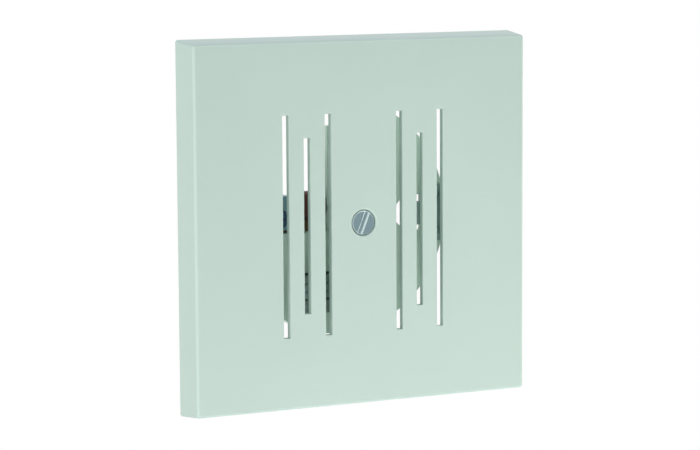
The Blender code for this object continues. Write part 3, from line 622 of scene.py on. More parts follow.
@dataclass(frozen=True)
class PrintedSleeve:
    """Shrunk film on a can that lies along X, with a pale stripe along its outer side."""

    name: str
    colour: Colour
    stripe: Colour
    middle: Flat
    half_width: float = 0.0009
    grain_size: float = 0.0006
    relief: float = 0.000006

    def material(self) -> bpy.types.Material:
        """Make the material."""
        shader = ShaderTree(self.name)
        place = shader.coordinates()
        across = shader.part(place, "Z") - self.middle[1]
        behind = shader.part(place, "Y") > self.middle[0]
        band = (abs(across) < self.half_width) * behind
        grain = shader.noise(place, self.grain_size, 3.0)
        film = shader.blend(grain, tint(self.colour, 0.85), tint(self.colour, 1.15))
        shader.feed("Base Color", shader.blend(band, film, self.stripe))
        shader.feed("Roughness", 0.30 + (grain - 0.5) * 0.2)
        shader.bump(grain, self.relief)
        return shader.material


CARRIER_PLASTIC = MouldedPlastic("carrier_plastic", (0.740, 0.860, 0.760), 0.55, 0.20, 0.035, 0.008)
BLACK_PLASTIC = MouldedPlastic("black_plastic", (0.020, 0.021, 0.022), 0.42, 0.4, 0.15, 0.004)
CAP_PLASTIC = MouldedPlastic("dark_cap_plastic", (0.034, 0.036, 0.038), 0.52, 0.35, 0.15, 0.004)
NYLON = MouldedPlastic("natural_nylon", (0.74, 0.74, 0.69), 0.46, 0.3, 0.05, 0.003)
TRIMMER_BLUE = MouldedPlastic("trimmer_blue", (0.220, 0.370, 0.430), 0.38, 0.4, 0.10, 0.003)
DIAL_BLUE = MouldedPlastic("dial_blue", (0.045, 0.105, 0.175), 0.34, 0.4, 0.15, 0.001)
TERMINAL_GREY = MouldedPlastic("terminal_grey", (0.240, 0.300, 0.285), 0.48, 0.35, 0.60, 0.0008)
FERRITE = MouldedPlastic("ferrite", (0.040, 0.038, 0.038), 0.62, 0.3, 0.25, 0.0006, 0.00012, 0.00002)
BROWN_SLEEVE = MouldedPlastic("brown_sleeve", (0.100, 0.026, 0.018), 0.40, 0.3, 0.20, 0.002)
RUBBER = MouldedPlastic("rubber_bung", (0.030, 0.030, 0.030), 0.70, 0.2, 0.20, 0.001)
RED_INSULATION = MouldedPlastic("red_insulation", (0.430, 0.026, 0.024), 0.32, 0.4, 0.10, 0.003)
BLACK_INSULATION = MouldedPlastic("black_insulation", (0.018, 0.018, 0.019), 0.32, 0.4, 0.15, 0.003)
RESISTOR_BODY = MouldedPlastic("resistor_glaze", (0.026, 0.026, 0.030), 0.30, 0.5, 0.15, 0.001)
SILVERED_CERAMIC = MouldedPlastic("silvered_ceramic", (0.66, 0.65, 0.60), 0.36, 0.5, 0.08, 0.0015)
ZINC_SHEET = WorkedMetal("zinc_sheet", (0.380, 0.480, 0.470), (0.270, 0.360, 0.355), 0.38)
BRASS = WorkedMetal("brass", (0.720, 0.520, 0.215), (0.560, 0.380, 0.150), 0.30)
ALUMINIUM = WorkedMetal("aluminium", (0.74, 0.75, 0.76), (0.62, 0.63, 0.65), 0.30)
SOLDER = WorkedMetal("solder", (0.62, 0.64, 0.65), (0.44, 0.45, 0.46), 0.34, line_size=0.0006)
TINNED_TRACK = WorkedMetal("tinned_track", (0.52, 0.47, 0.36), (0.42, 0.34, 0.22), 0.40)
LAMINATE = BoardLaminate("board_laminate", (0.330, 0.205, 0.085), (0.150, 0.085, 0.035))


def box(bm: bmesh.types.BMesh, low: Point, high: Point) -> list[bmesh.types.BMVert]:
    """Add a box between two corners and give its points."""
    size = [b - a for a, b in zip(low, high)]
    middle = [(a + b) / 2 for a, b in zip(low, high)]
    matrix = Matrix.Translation(middle) @ Matrix.Diagonal((*size, 1.0))
    return bmesh.ops.create_cube(bm, size=1.0, matrix=matrix)["verts"]


def lathe(bm: bmesh.types.BMesh, profile: Sequence[Flat], steps: int, centre: Point = (0, 0, 0),
          axis: Axis = Axis.Y) -> None:
    """Spin a closed profile round an axis.

    Args:
        bm: the mesh that it is added to.
        profile: points of (distance from the axis, place along it).
        steps: facets round the axis.
        centre: a point on the axis, where the places along it start.
        axis: the axis's direction.
    """
    along = Vector(axis.value)
    start = [bm.verts.new(Vector(centre) + along * d + Vector((0, 0, r))) for r, d in profile]
    edges = [bm.edges.new(pair) for pair in zip(start, start[1:] + start[:1])]
    flat = [e for e in edges if all(v.co.z - centre[2] < MERGE for v in e.verts)]
    for edge in flat:
        bm.edges.remove(edge)
    spun = [e for e in edges if e not in flat]
    before = set(bm.verts) - set(start)
    bmesh.ops.spin(bm, geom=start + spun, cent=centre, axis=along, angle=2 * pi, steps=steps, use_merge=True)
    bmesh.ops.remove_doubles(bm, verts=[v for v in bm.verts if v not in before], dist=MERGE)


def pin(bm: bmesh.types.BMesh, x: float, z: float, radius: float, front: float, rear: float,
        steps: int = SMALL_ROUND) -> None:
    """Add a round pin along Y."""
    lathe(bm, [(0, front), (radius, front), (radius, rear), (0, rear)], steps, (x, 0, z))


def prism(bm: bmesh.types.BMesh, outline: Iterable[Point], along: Point) -> None:
    """Add a closed outline, extruded by a vector."""
    face = bm.faces.new([bm.verts.new(p) for p in outline])
    grown = bmesh.ops.extrude_face_region(bm, geom=[face])["geom"]
    bmesh.ops.translate(bm, verts=[g for g in grown if isinstance(g, bmesh.types.BMVert)], vec=along)


def frustum(bm: bmesh.types.BMesh, front_half: float, front: float, rear_half: float, rear: float) -> None:
    """Add a square block whose half side changes from its front to its rear."""
    corners = ((-1, -1), (1, -1), (1, 1), (-1, 1))
    near = [bm.verts.new((front_half * a, front, front_half * b)) for a, b in corners]
    far = [bm.verts.new((rear_half * a, rear, rear_half * b)) for a, b in corners]
    bm.faces.new(near)
    bm.faces.new(far[::-1])
    for i in range(4):
        bm.faces.new((near[i], far[i], far[(i + 1) % 4], near[(i + 1) % 4]))


def arc(centre: Flat, radius: float, start: float, end: float, steps: int = 6) -> list[Flat]:
    """Give points on a circle from one angle to another, in degrees."""
    angles = [radians(start + (end - start) * i / steps) for i in range(steps + 1)]
    return [(centre[0] + radius * cos(a), centre[1] + radius * sin(a)) for a in angles]


def middle_of(node: str) -> Vector:
    """Give the middle of a solid's box."""
    low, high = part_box(node)
    return (low + high) / 2


def numbered(stem: str, count: int) -> list[str]:
    """Give the names of a numbered family of nodes."""
    return [f"{stem}_{number}" for number in range(1, count + 1)]


def places_of(nodes: Sequence[str]) -> list[Point]:
    """Give the places of nodes in the wall plane."""
    return [(middle_of(node).x, 0, middle_of(node).z) for node in nodes]


class SlotRows(GeometryTree):
    """Two rows of three upright slots, as bodies to cut with."""

    def __init__(self) -> None:
        """Build the tree: a slot on each point of a row, and a row on each of two points."""
        super().__init__("slot_rows")
        width, depth, long, short, pitch, spread, level = self.inputs(
            "Width", "Depth", "Long", "Short", "Pitch", "Spread", "Level")
        row = self.node("GeometryNodeMeshLine", {"mode": "OFFSET"},
                        {"Count": 3, "Start Location": self.vector(-1 * pitch, 0.0, 0.0),
                         "Offset": self.vector(pitch, 0.0, 0.0)})
        index = self.node("GeometryNodeInputIndex")
        outer = abs(index - 1.0)
        bar = self.node("GeometryNodeMeshCube", {}, {"Size": self.vector(width, depth, 1.0)})
        scale = self.vector(1.0, 1.0, short + (long - short) * outer)
        slots = self.node("GeometryNodeInstanceOnPoints", {}, {"Points": row, "Instance": bar, "Scale": scale})
        pair = self.node("GeometryNodeMeshLine", {"mode": "OFFSET"},
                         {"Count": 2, "Start Location": self.vector(-1 * spread, level, 0.0),
                          "Offset": self.vector(2 * spread, 0.0, 0.0)})
        self.close(self.node("GeometryNodeInstanceOnPoints", {}, {"Points": pair, "Instance": slots}))


class RippledTube(GeometryTree):
    """A closed round bar along Y whose skin rises and falls along a helix."""

    def __init__(self) -> None:
        """Build the tree: a sheet that is rolled up, with its first and last rows drawn to the axis."""
        super().__init__("rippled_tube")
        radius, depth, pitch, length, sharp = self.inputs("Radius", "Depth", "Pitch", "Length", "Sharpness")
        round_points = self.input("Points Round", "NodeSocketInt")
        rows = self.input("Rows", "NodeSocketInt")
        sheet = self.tree.nodes.new("GeometryNodeMeshGrid")
        for name, value in (("Vertices X", round_points), ("Vertices Y", rows)):
            self.link(sheet.inputs[name], value)
        split = self.tree.nodes.new("ShaderNodeSeparateXYZ")
        self.tree.links.new(sheet.outputs["UV Map"], split.inputs[0])
        turn = Value(self, split.outputs[0])
        run = Value(self, split.outputs[1])
        wave = abs(2.0 * (run * length / pitch - turn).fraction() - 1.0)
        ends = (run * (1.0 - run) * 4.0 * length / pitch).least(1.0)
        inside = (run > MERGE) * (run < 1.0 - MERGE)
        reach = (radius - depth * self.node("ShaderNodeMath", {"operation": "POWER"}, {0: wave, 1: sharp}) * ends)
        reach = reach * inside
        angle = turn * (2 * pi)
        rolled = self.node("GeometryNodeSetPosition", {}, {
            "Geometry": Value(self, sheet.outputs["Mesh"]),
            "Position": self.vector(reach * angle.cosine(), run * length, reach * angle.sine())})
        self.close(self.node("GeometryNodeMergeByDistance", {}, {"Geometry": rolled, "Distance": MERGE}))


class PatternScatter(GeometryTree):
    """One pattern set on every point of its host, each turned round Y by the point's own angle."""

    def __init__(self) -> None:
        """Build the tree."""
        super().__init__("pattern_scatter")
        pattern = self.input("Pattern", "NodeSocketObject")
        shape = self.node("GeometryNodeObjectInfo", {}, {"Object": pattern}, "Geometry")
        turn = self.node("GeometryNodeInputNamedAttribute", {"data_type": "FLOAT"}, {"Name": "turn"}, "Attribute")
        points = self.node("GeometryNodeMeshToPoints", {}, {"Mesh": self.host})
        self.close(self.node("GeometryNodeInstanceOnPoints", {}, {
            "Points": points, "Instance": shape, "Rotation": self.vector(0.0, turn, 0.0)}))

    def copies(self, name: str, pattern: Shape, places: Sequence[Point], turns: Sequence[float] = ()) -> Shape:
        """Set copies of a pattern on places, and drop the pattern.

        Args:
            name: the new piece's name.
            pattern: what is repeated.
            places: where it goes.
            turns: the angle of each copy round Y, or nothing for none.

        Returns:
            The copies as one shape.
        """
        bm = bmesh.new()
        for place in places:
            bm.verts.new(place)
        shape = Shape(name, bm, outward=False)
        attribute = shape.piece.data.attributes.new("turn", "FLOAT", "POINT")
        attribute.data.foreach_set("value", list(turns) or [0.0] * len(places))
        self.run(shape, {"Pattern": pattern.piece})
        bpy.data.objects.remove(pattern.piece)
        return shape


class SweptRoutes(GeometryTree):
    """Flat stock along every route of its host, with its bends rounded."""

    def __init__(self) -> None:
        """Build the tree: routes in the XY plane, swept there and then stood up into the XZ plane."""
        super().__init__("swept_routes")
        width, height, bend, lift = self.inputs("Width", "Height", "Bend", "Lift")
        curve = self.node("GeometryNodeMeshToCurve", {}, {"Mesh": self.host})
        curve = self.node("GeometryNodeFilletCurve", {"mode": "POLY"},
                          {"Curve": curve, "Count": 6, "Radius": bend, "Limit Radius": True})
        curve = self.node("GeometryNodeSetCurveNormal", {"mode": "Z_UP"}, {"Curve": curve})
        profile = self.node("GeometryNodeCurvePrimitiveQuadrilateral", {}, {"Width": width, "Height": height})
        swept = self.node("GeometryNodeCurveToMesh", {},
                          {"Curve": curve, "Profile Curve": profile, "Fill Caps": True})
        stood = self.node("GeometryNodeTransform", {}, {
            "Geometry": swept, "Translation": self.vector(0.0, lift, 0.0), "Rotation": (pi / 2, 0.0, 0.0)})
        self.close(stood)

    def along(self, name: str, routes: Sequence[Sequence[Flat]], sizes: dict[str, float]) -> Shape:
        """Sweep stock along routes of (x, z).

        Args:
            name: the new piece's name.
            routes: the corner points of each route.
            sizes: the tree's inputs by name.

        Returns:
            The swept stock as one shape.
        """
        bm = bmesh.new()
        for route in routes:
            points = [bm.verts.new((x, z, 0)) for x, z in route]
            for pair in zip(points, points[1:]):
                bm.edges.new(pair)
        return self.run(Shape(name, bm, outward=False), sizes)


@dataclass
class FrontCover:
    """The slotted front shell."""

    flare: float = 0.0008
    wall: float = 0.0015
    front: float = 0.0015
    edge: float = 0.0006
    inner_corner: float = 0.0010
    slot_width: float = 0.0015
    slot_long: float = 0.0485
    slot_short: float = 0.0384
    slot_pitch: float = 0.00505
    slot_group: float = 0.0137
    rim: float = 0.00010
    boss_radius: float = 0.0040
    boss_rear: float = -0.0006
    head_bore: float = 0.00288
    bore_chamfer: float = 0.00035
    bore_floor: float = -0.0054
    shaft_bore: float = 0.0018
    peg_radius: float = 0.0022
    gusset_offset: float = 0.0225
    gusset_thick: float = 0.0008
    gusset_reach: float = 0.0034
    ejector_place: float = 0.0315
    ejector_radius: float = 0.0018
    ejector_depth: float = 0.00015

    def __post_init__(self) -> None:
        """Take the outer sizes from the solid."""
        low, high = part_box("cover")
        self.face = low.y
        self.rear = high.y
        self.inner = self.face + self.front
        self.rear_half = high.x

    def half(self, y: float) -> float:
        """Give half the outer side at a place along Y."""
        return self.rear_half - self.flare * (self.rear - y) / (self.rear - self.face)

    def shell(self) -> Shape:
        """Make the hollow shell with round edges and corners."""
        bm = bmesh.new()
        frustum(bm, self.half(self.face), self.face, self.rear_half, self.rear)
        outer = [e for e in bm.edges if any(v.co.y < self.face / 2 for v in e.verts)]
        bmesh.ops.bevel(bm, geom=outer, offset=self.edge, segments=6, profile=0.5, affect="EDGES")
        hollow = bmesh.new()
        frustum(hollow, self.half(self.inner) - self.wall, self.inner,
                self.half(OVERRUN) - self.wall, OVERRUN)
        inner = [e for e in hollow.edges if any(v.co.y < self.inner / 2 for v in e.verts)]
        bmesh.ops.bevel(hollow, geom=inner, offset=self.inner_corner, segments=4, profile=0.5, affect="EDGES")
        return Shape("front_cover", bm).cut(hollow)

    def gussets(self) -> bmesh.types.BMesh:
        """Make the stiffening gussets between the front wall and the side walls."""
        bm = bmesh.new()
        near = self.half(self.inner) - self.wall
        half_thick = self.gusset_thick / 2
        for quarter in range(4):
            turn = Matrix.Rotation(quarter * pi / 2, 3, "Y")
            for offset in (-self.gusset_offset, self.gusset_offset):
                outline = [(near + EMBED, self.inner - EMBED, offset - half_thick),
                           (near - self.gusset_reach, self.inner - EMBED, offset - half_thick),
                           (near - self.gusset_reach, self.inner + EMBED, offset - half_thick),
                           (near + EMBED, self.inner + self.gusset_reach, offset - half_thick)]
                prism(bm, [turn @ Vector(p) for p in outline], turn @ Vector((0, 0, self.gusset_thick)))
        return bm

    def posts(self) -> bmesh.types.BMesh:
        """Make the screw boss, the tamper peg and the ejector marks behind the front wall."""
        bm = bmesh.new()
        pin(bm, 0, 0, self.boss_radius, self.inner - EMBED, self.boss_rear, ROUND)
        plunger = middle_of("tamper_plunger")
        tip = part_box("tamper_plunger")[0].y
        pin(bm, plunger.x, plunger.z, self.peg_radius, self.inner - EMBED, tip - GAP)
        for x in (-self.ejector_place, self.ejector_place):
            for z in (-self.ejector_place, self.ejector_place):
                pin(bm, x, z, self.ejector_radius, self.inner - EMBED, self.inner + self.ejector_depth)
        return bm

    def bore(self) -> bmesh.types.BMesh:
        """Make the counterbore of the cover screw."""
        bm = bmesh.new()
        start = self.face - OVERRUN
        end = self.boss_rear + OVERRUN
        mouth = self.head_bore + self.bore_chamfer + OVERRUN
        lathe(bm, [(0, start), (mouth, start), (self.head_bore, self.face + self.bore_chamfer),
                   (self.head_bore, self.bore_floor), (self.shaft_bore, self.bore_floor),
                   (self.shaft_bore, end), (0, end)], ROUND)
        return bm

    def slots(self) -> Shape:
        """Make the bodies that cut the slots."""
        host = Shape("slot_cutter", bmesh.new(), outward=False)
        depth = self.front + 2 * OVERRUN
        return SlotRows().run(host, {
            "Width": self.slot_width, "Depth": depth, "Long": self.slot_long, "Short": self.slot_short,
            "Pitch": self.slot_pitch, "Spread": self.slot_group, "Level": self.face + self.front / 2})

    def build(self) -> None:
        """Make and dress the cover."""
        shell = self.shell()
        shell.join(self.posts()).join(self.gussets())
        shell.combine(self.slots(), "DIFFERENCE")
        shell.cut(self.bore()).soften(self.rim)
        # The cover's finish paints a highlight along its front edges and in the screw's counterbore.
        finish = EdgeHighlightPlastic("pale_cover_plastic", (0.570, 0.702, 0.630), 0.42, 0.28, 0.018,
                               half=self.half(self.face), face=self.face, edge=self.edge,
                               bore=self.head_bore + self.bore_chamfer)
        shell.fit(finish, "root", Slot.COVER, "cover")


@dataclass
class CoverScrew:
    """The slotted cover screw with its retaining washer and brass insert."""

    head_height: float = 0.0020
    head_inset: float = 0.00007
    head_dome: float = 0.00012
    slot_width: float = 0.0010
    slot_depth: float = 0.0004
    slot_turn: float = radians(22)
    shank_radius: float = 0.0015
    thread_depth: float = 0.00027
    thread_pitch: float = 0.0005
    rim: float = 0.00009
    insert_groove: float = 0.0003
    insert_bore: float = 0.0018

    def screw(self) -> None:
        """Make the screw: a domed head with its slot, and a threaded shank."""
        low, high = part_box("cover_screw")
        radius = high.x - self.head_inset
        seat = low.y + self.head_height
        dome = [(radius * i / 6, low.y + self.head_dome * (i / 6) ** 2) for i in range(7)]
        bm = bmesh.new()
        lathe(bm, [*dome, (radius, seat), (0, seat)], ROUND)
        head = Shape("slotted_screw", bm).soften(self.rim, 3)
        cutter = bmesh.new()
        reach = radius + OVERRUN
        verts = box(cutter, (-self.slot_width / 2, low.y - OVERRUN, -reach),
                    (self.slot_width / 2, low.y + self.slot_depth, reach))
        bmesh.ops.rotate(cutter, verts=verts, cent=(0, 0, 0), matrix=Matrix.Rotation(self.slot_turn, 3, "Y"))
        head.cut(cutter)
        length = high.y - seat + EMBED
        shank = Shape("shank", bmesh.new(), outward=False)
        RippledTube().run(shank, {
            "Radius": self.shank_radius, "Depth": self.thread_depth, "Pitch": self.thread_pitch,
            "Length": length, "Sharpness": 1.0, "Points Round": SMALL_ROUND + 1,
            "Rows": int(length / self.thread_pitch * 8)})
        shank.piece.data.transform(Matrix.Translation((0, seat - EMBED, 0)))
        head.combine(shank, "UNION").smooth(radians(25))
        # The screw's finish paints a highlight along its slot's edges and on its rim.
        finish = SlottedHead("zinc_turned", (0.250, 0.345, 0.375), (0.170, 0.255, 0.280), 0.30, Lines.TURNED,
                             slot_half=self.slot_width / 2, slot_turn=self.slot_turn,
                             rim_radius=radius - 2 * self.rim)
        head.fit(finish, "cover_screw", Slot.ZINC, "cover_screw")

    def washer(self) -> None:
        """Make the retaining washer."""
        low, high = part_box("screw_washer")
        bm = bmesh.new()
        inner = self.shank_radius + GAP
        lathe(bm, [(inner, low.y), (high.x, low.y), (high.x, high.y), (inner, high.y)], ROUND)
        Shape("retaining_washer", bm).soften(self.rim, 3).fit(NYLON, "washer", Slot.NYLON, "screw_washer")

    def insert(self) -> None:
        """Make the threaded insert in the carrier's pillar."""
        low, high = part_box("centre_insert")
        third = (high.y - low.y) / 3
        radius = high.x
        waist = radius - self.insert_groove
        bm = bmesh.new()
        lathe(bm, [(self.insert_bore, low.y), (radius, low.y), (radius, low.y + third), (waist, low.y + third),
                   (waist, high.y - third), (radius, high.y - third), (radius, high.y),
                   (self.insert_bore, high.y)], ROUND)
        Shape("brass_insert", bm).soften(self.rim).fit(BRASS, "root", Slot.BRASS, "centre_insert")

    def build(self) -> None:
        """Make and dress the three pieces."""
        self.screw()
        self.washer()
        self.insert()


@dataclass
class Carrier:
    """The round moulded carrier with its steel lugs and their rivets."""

    front: float = 0.0040
    rear: float = 0.0065
    skirt_wall: float = 0.0016
    pillar_radius: float = 0.0042
    post_radius: float = 0.0020
    post_rear: float = 0.0082
    screw_hole: float = 0.0012
    screw_bite: float = 0.0029
    collar_bore: float = 0.0098
    collar_radius: float = 0.0107
    collar_depth: float = 0.0030
    port_radius: float = 0.0030
    tongue_hole: float = 0.0041
    tongue_hole_place: float = 0.0176
    tongue_hole_end: float = 0.02085
    insert_hole: float = 0.0030
    window_left: float = -0.0193
    window_right: float = -0.0033
    window_bottom: float = -0.00295
    window_step: float = 0.0028
    window_step_bottom: float = 0.0205
    rib_angles: tuple[float, ...] = (radians(20), radians(33), radians(46))
    rib_near: float = 0.0190
    rib_thick: float = 0.0010
    rib_depth: float = 0.0030
    sheet: float = 0.0010
    plate_front: float = 0.0027
    bend: float = 0.0005
    shoulder_inset: float = 0.0020
    tongue_width: float = 0.0053
    slot_spacing: float = 0.0600
    slot_radius: float = 0.0018
    slot_run: float = 0.0022
    rivet_hole: float = 0.0013
    rivet_shank: float = 0.0010
    rivet_head: float = 0.0015
    head_height: float = 0.0008
    burr: float = 0.00010

    def board_posts(self) -> list[Flat]:
        """Give the places of the posts that the board is screwed to."""
        return [(x, z) for x, _, z in places_of(numbered("board_screw", 3))]

    def posts(self, pillar_front: float, skirt: float) -> bmesh.types.BMesh:
        """Make what stands on the plate.

        Args:
            pillar_front: Y of the pillar's front face.
            skirt: inner radius of the skirt.

        Returns:
            Pillar, posts, sounder collar and stiffening ribs.
        """
        bm = bmesh.new()
        pin(bm, 0, 0, self.pillar_radius, pillar_front, self.front + EMBED, ROUND)
        root = self.rear - EMBED
        for x, z in self.board_posts():
            pin(bm, x, z, self.post_radius, root, self.post_rear)
        sounder = middle_of("sounder_case")
        end = self.rear + self.collar_depth
        lathe(bm, [(self.collar_bore, root), (self.collar_radius, root), (self.collar_radius, end),
                   (self.collar_bore, end)], ROUND, (sounder.x, 0, sounder.z))
        half = self.rib_thick / 2
        for angle in self.rib_angles:
            verts = box(bm, (self.rib_near, root, -half), (skirt + EMBED, self.rear + self.rib_depth, half))
            bmesh.ops.rotate(bm, verts=verts, cent=(0, 0, 0), matrix=Matrix.Rotation(-angle, 3, "Y"))
        return bm

    def openings(self, pillar_front: float, top: float, rim: float) -> bmesh.types.BMesh:
        """Make the bodies that cut the carrier's openings.

        Args:
            pillar_front: Y of the pillar's front face.
            top: Z past the carrier's top.
            rim: Y past the skirt's rear rim.

        Returns:
            The window, the two part openings and the round holes.
        """
        bm = bmesh.new()
        start = self.front - OVERRUN
        step = self.window_right + self.window_step
        outline = [(self.window_left, self.window_bottom), (self.window_right, self.window_bottom),
                   (self.window_right, self.window_step_bottom), (step, self.window_step_bottom),
                   (step, top), (self.window_left, top)]
        prism(bm, [(x, start, z) for x, z in outline], (0, rim - start, 0))
        for node in ("terminal_block", "tamper_switch"):
            low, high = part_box(node)
            box(bm, (low.x - GAP, start, low.z - GAP), (high.x + GAP, rim, high.z + GAP))
        through = self.rear + OVERRUN
        sounder = middle_of("sounder_case")
        outline = [(self.tongue_hole_end, -self.tongue_hole), (self.tongue_hole_end, self.tongue_hole)]
        outline += arc((self.tongue_hole_place, 0), self.tongue_hole, 90, 270, SMALL_ROUND)
        prism(bm, [(x, start, z) for x, z in outline], (0, through - start, 0))
        pin(bm, sounder.x, sounder.z, self.port_radius, start, through)
        pin(bm, 0, 0, self.insert_hole, pillar_front - OVERRUN, through, ROUND)
        for x, _, z in places_of(numbered("lug_rivet", 4)):
            pin(bm, x, z, self.rivet_hole, start, through)
        for x, z in self.board_posts():
            pin(bm, x, z, self.screw_hole, self.post_rear - self.screw_bite, self.post_rear + OVERRUN)
        return bm

    def body(self) -> None:
        """Make the moulded carrier: plate and skirt, what stands on them, and the openings."""
        low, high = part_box("base")
        radius = high.x
        skirt = radius - self.skirt_wall
        bm = bmesh.new()
        lathe(bm, [(0, self.front), (radius, self.front), (radius, high.y), (skirt, high.y),
                   (skirt, self.rear), (0, self.rear)], 2 * ROUND)
        body = Shape("round_carrier", bm).join(self.posts(low.y, skirt))
        body.cut(self.openings(low.y, radius + OVERRUN, high.y + OVERRUN)).smooth()
        body.fit(CARRIER_PLASTIC, "root", Slot.CARRIER, "base")

    def strip(self, corners: Sequence[Flat]) -> list[Flat]:
        """Give the outline of a bent strip of sheet.

        Args:
            corners: the corners of its middle line, with square bends between them.

        Returns:
            The outline, down one side and back along the other.
        """
        left: list[Flat] = []
        right: list[Flat] = []
        half = self.sheet / 2
        reach = self.bend + half
        points = [Vector(c) for c in corners]
        for index, point in enumerate(points):
            ahead = (points[min(index + 1, len(points) - 1)] - points[max(index, 1) - 1]).normalized()
            if index in (0, len(points) - 1):
                side = Vector((-ahead.y, ahead.x)) * half
                left.append(tuple(point + side))
                right.append(tuple(point - side))
                continue
            into = (point - points[index - 1]).normalized()
            out = (points[index + 1] - point).normalized()
            centre = point - into * reach + out * reach
            hand = 1 if into.x * out.y - into.y * out.x > 0 else -1
            for step in range(7):
                angle = pi / 2 * step / 6
                normal = -out * cos(angle) + into * sin(angle)
                near = tuple(centre + normal * self.bend)
                far = tuple(centre + normal * (self.bend + self.sheet))
                left.append(near if hand > 0 else far)
                right.append(far if hand > 0 else near)
        return left + right[::-1]

    def lug(self, side: int) -> None:
        """Make one cranked lug.

        Args:
            side: -1 for the left one, 1 for the right one.
        """
        node = "lug_left" if side < 0 else "lug_right"
        low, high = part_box(node)
        near, far = sorted((abs(low.x), abs(high.x)))
        half = self.sheet / 2
        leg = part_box("base")[1].x + GAP + half
        plate = self.plate_front + half
        ear = low.y + half
        outline = self.strip([(near + half, high.y), (near + half, plate), (leg, plate), (leg, ear), (far, ear)])
        bm = bmesh.new()
        prism(bm, [(side * x, y, low.z) for x, y in outline], (0, 0, high.z - low.z))
        lug = Shape("steel_" + node, bm)
        cuts = bmesh.new()
        rivet = middle_of("lug_rivet_4")
        shoulder = rivet.x - self.shoulder_inset
        inner, outer = sorted((side * (near - OVERRUN), side * shoulder))
        for edge, end in ((-self.tongue_width / 2, low.z - OVERRUN), (self.tongue_width / 2, high.z + OVERRUN)):
            bottom, top = sorted((edge, end))
            box(cuts, (inner, low.y - OVERRUN, bottom), (outer, high.y + OVERRUN, top))
        for z in (-rivet.z, rivet.z):
            pin(cuts, side * rivet.x, z, self.rivet_hole, self.plate_front - OVERRUN, high.y + OVERRUN)
        middle = side * self.slot_spacing / 2
        ends = arc((middle + self.slot_run / 2, 0), self.slot_radius, -90, 90, 12)
        ends += arc((middle - self.slot_run / 2, 0), self.slot_radius, 90, 270, 12)
        prism(cuts, [(x, low.y - OVERRUN, z) for x, z in ends], (0, self.sheet + 2 * OVERRUN, 0))
        lug.cut(cuts).soften(self.burr)
        lug.fit(ZINC_SHEET, "root", Slot.ZINC, node)

    def rivets(self) -> None:
        """Make the four rivets, domed in front and upset behind."""
        low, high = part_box("lug_rivet_1")
        front = low.y + self.head_height
        rear = high.y - self.head_height
        steps = 8
        dome = [(self.rivet_head * sin(pi / 2 * i / steps), front - self.head_height * cos(pi / 2 * i / steps))
                for i in range(steps + 1)]
        tail = [(self.rivet_head, rear), (self.rivet_head, rear + self.head_height / 2),
                (self.rivet_shank, high.y), (0, high.y)]
        bm = bmesh.new()
        lathe(bm, [*dome, (self.rivet_shank, front), (self.rivet_shank, rear), *tail], SMALL_ROUND)
        nodes = numbered("lug_rivet", 4)
        rivets = PatternScatter().copies("lug_rivets", Shape("rivet", bm), places_of(nodes))
        rivets.smooth().fit(ZINC_SHEET, "root", Slot.ZINC, *nodes)

    def build(self) -> None:
        """Make and dress the carrier, its lugs and its rivets."""
        self.body()
        self.lug(-1)
        self.lug(1)
        self.rivets()


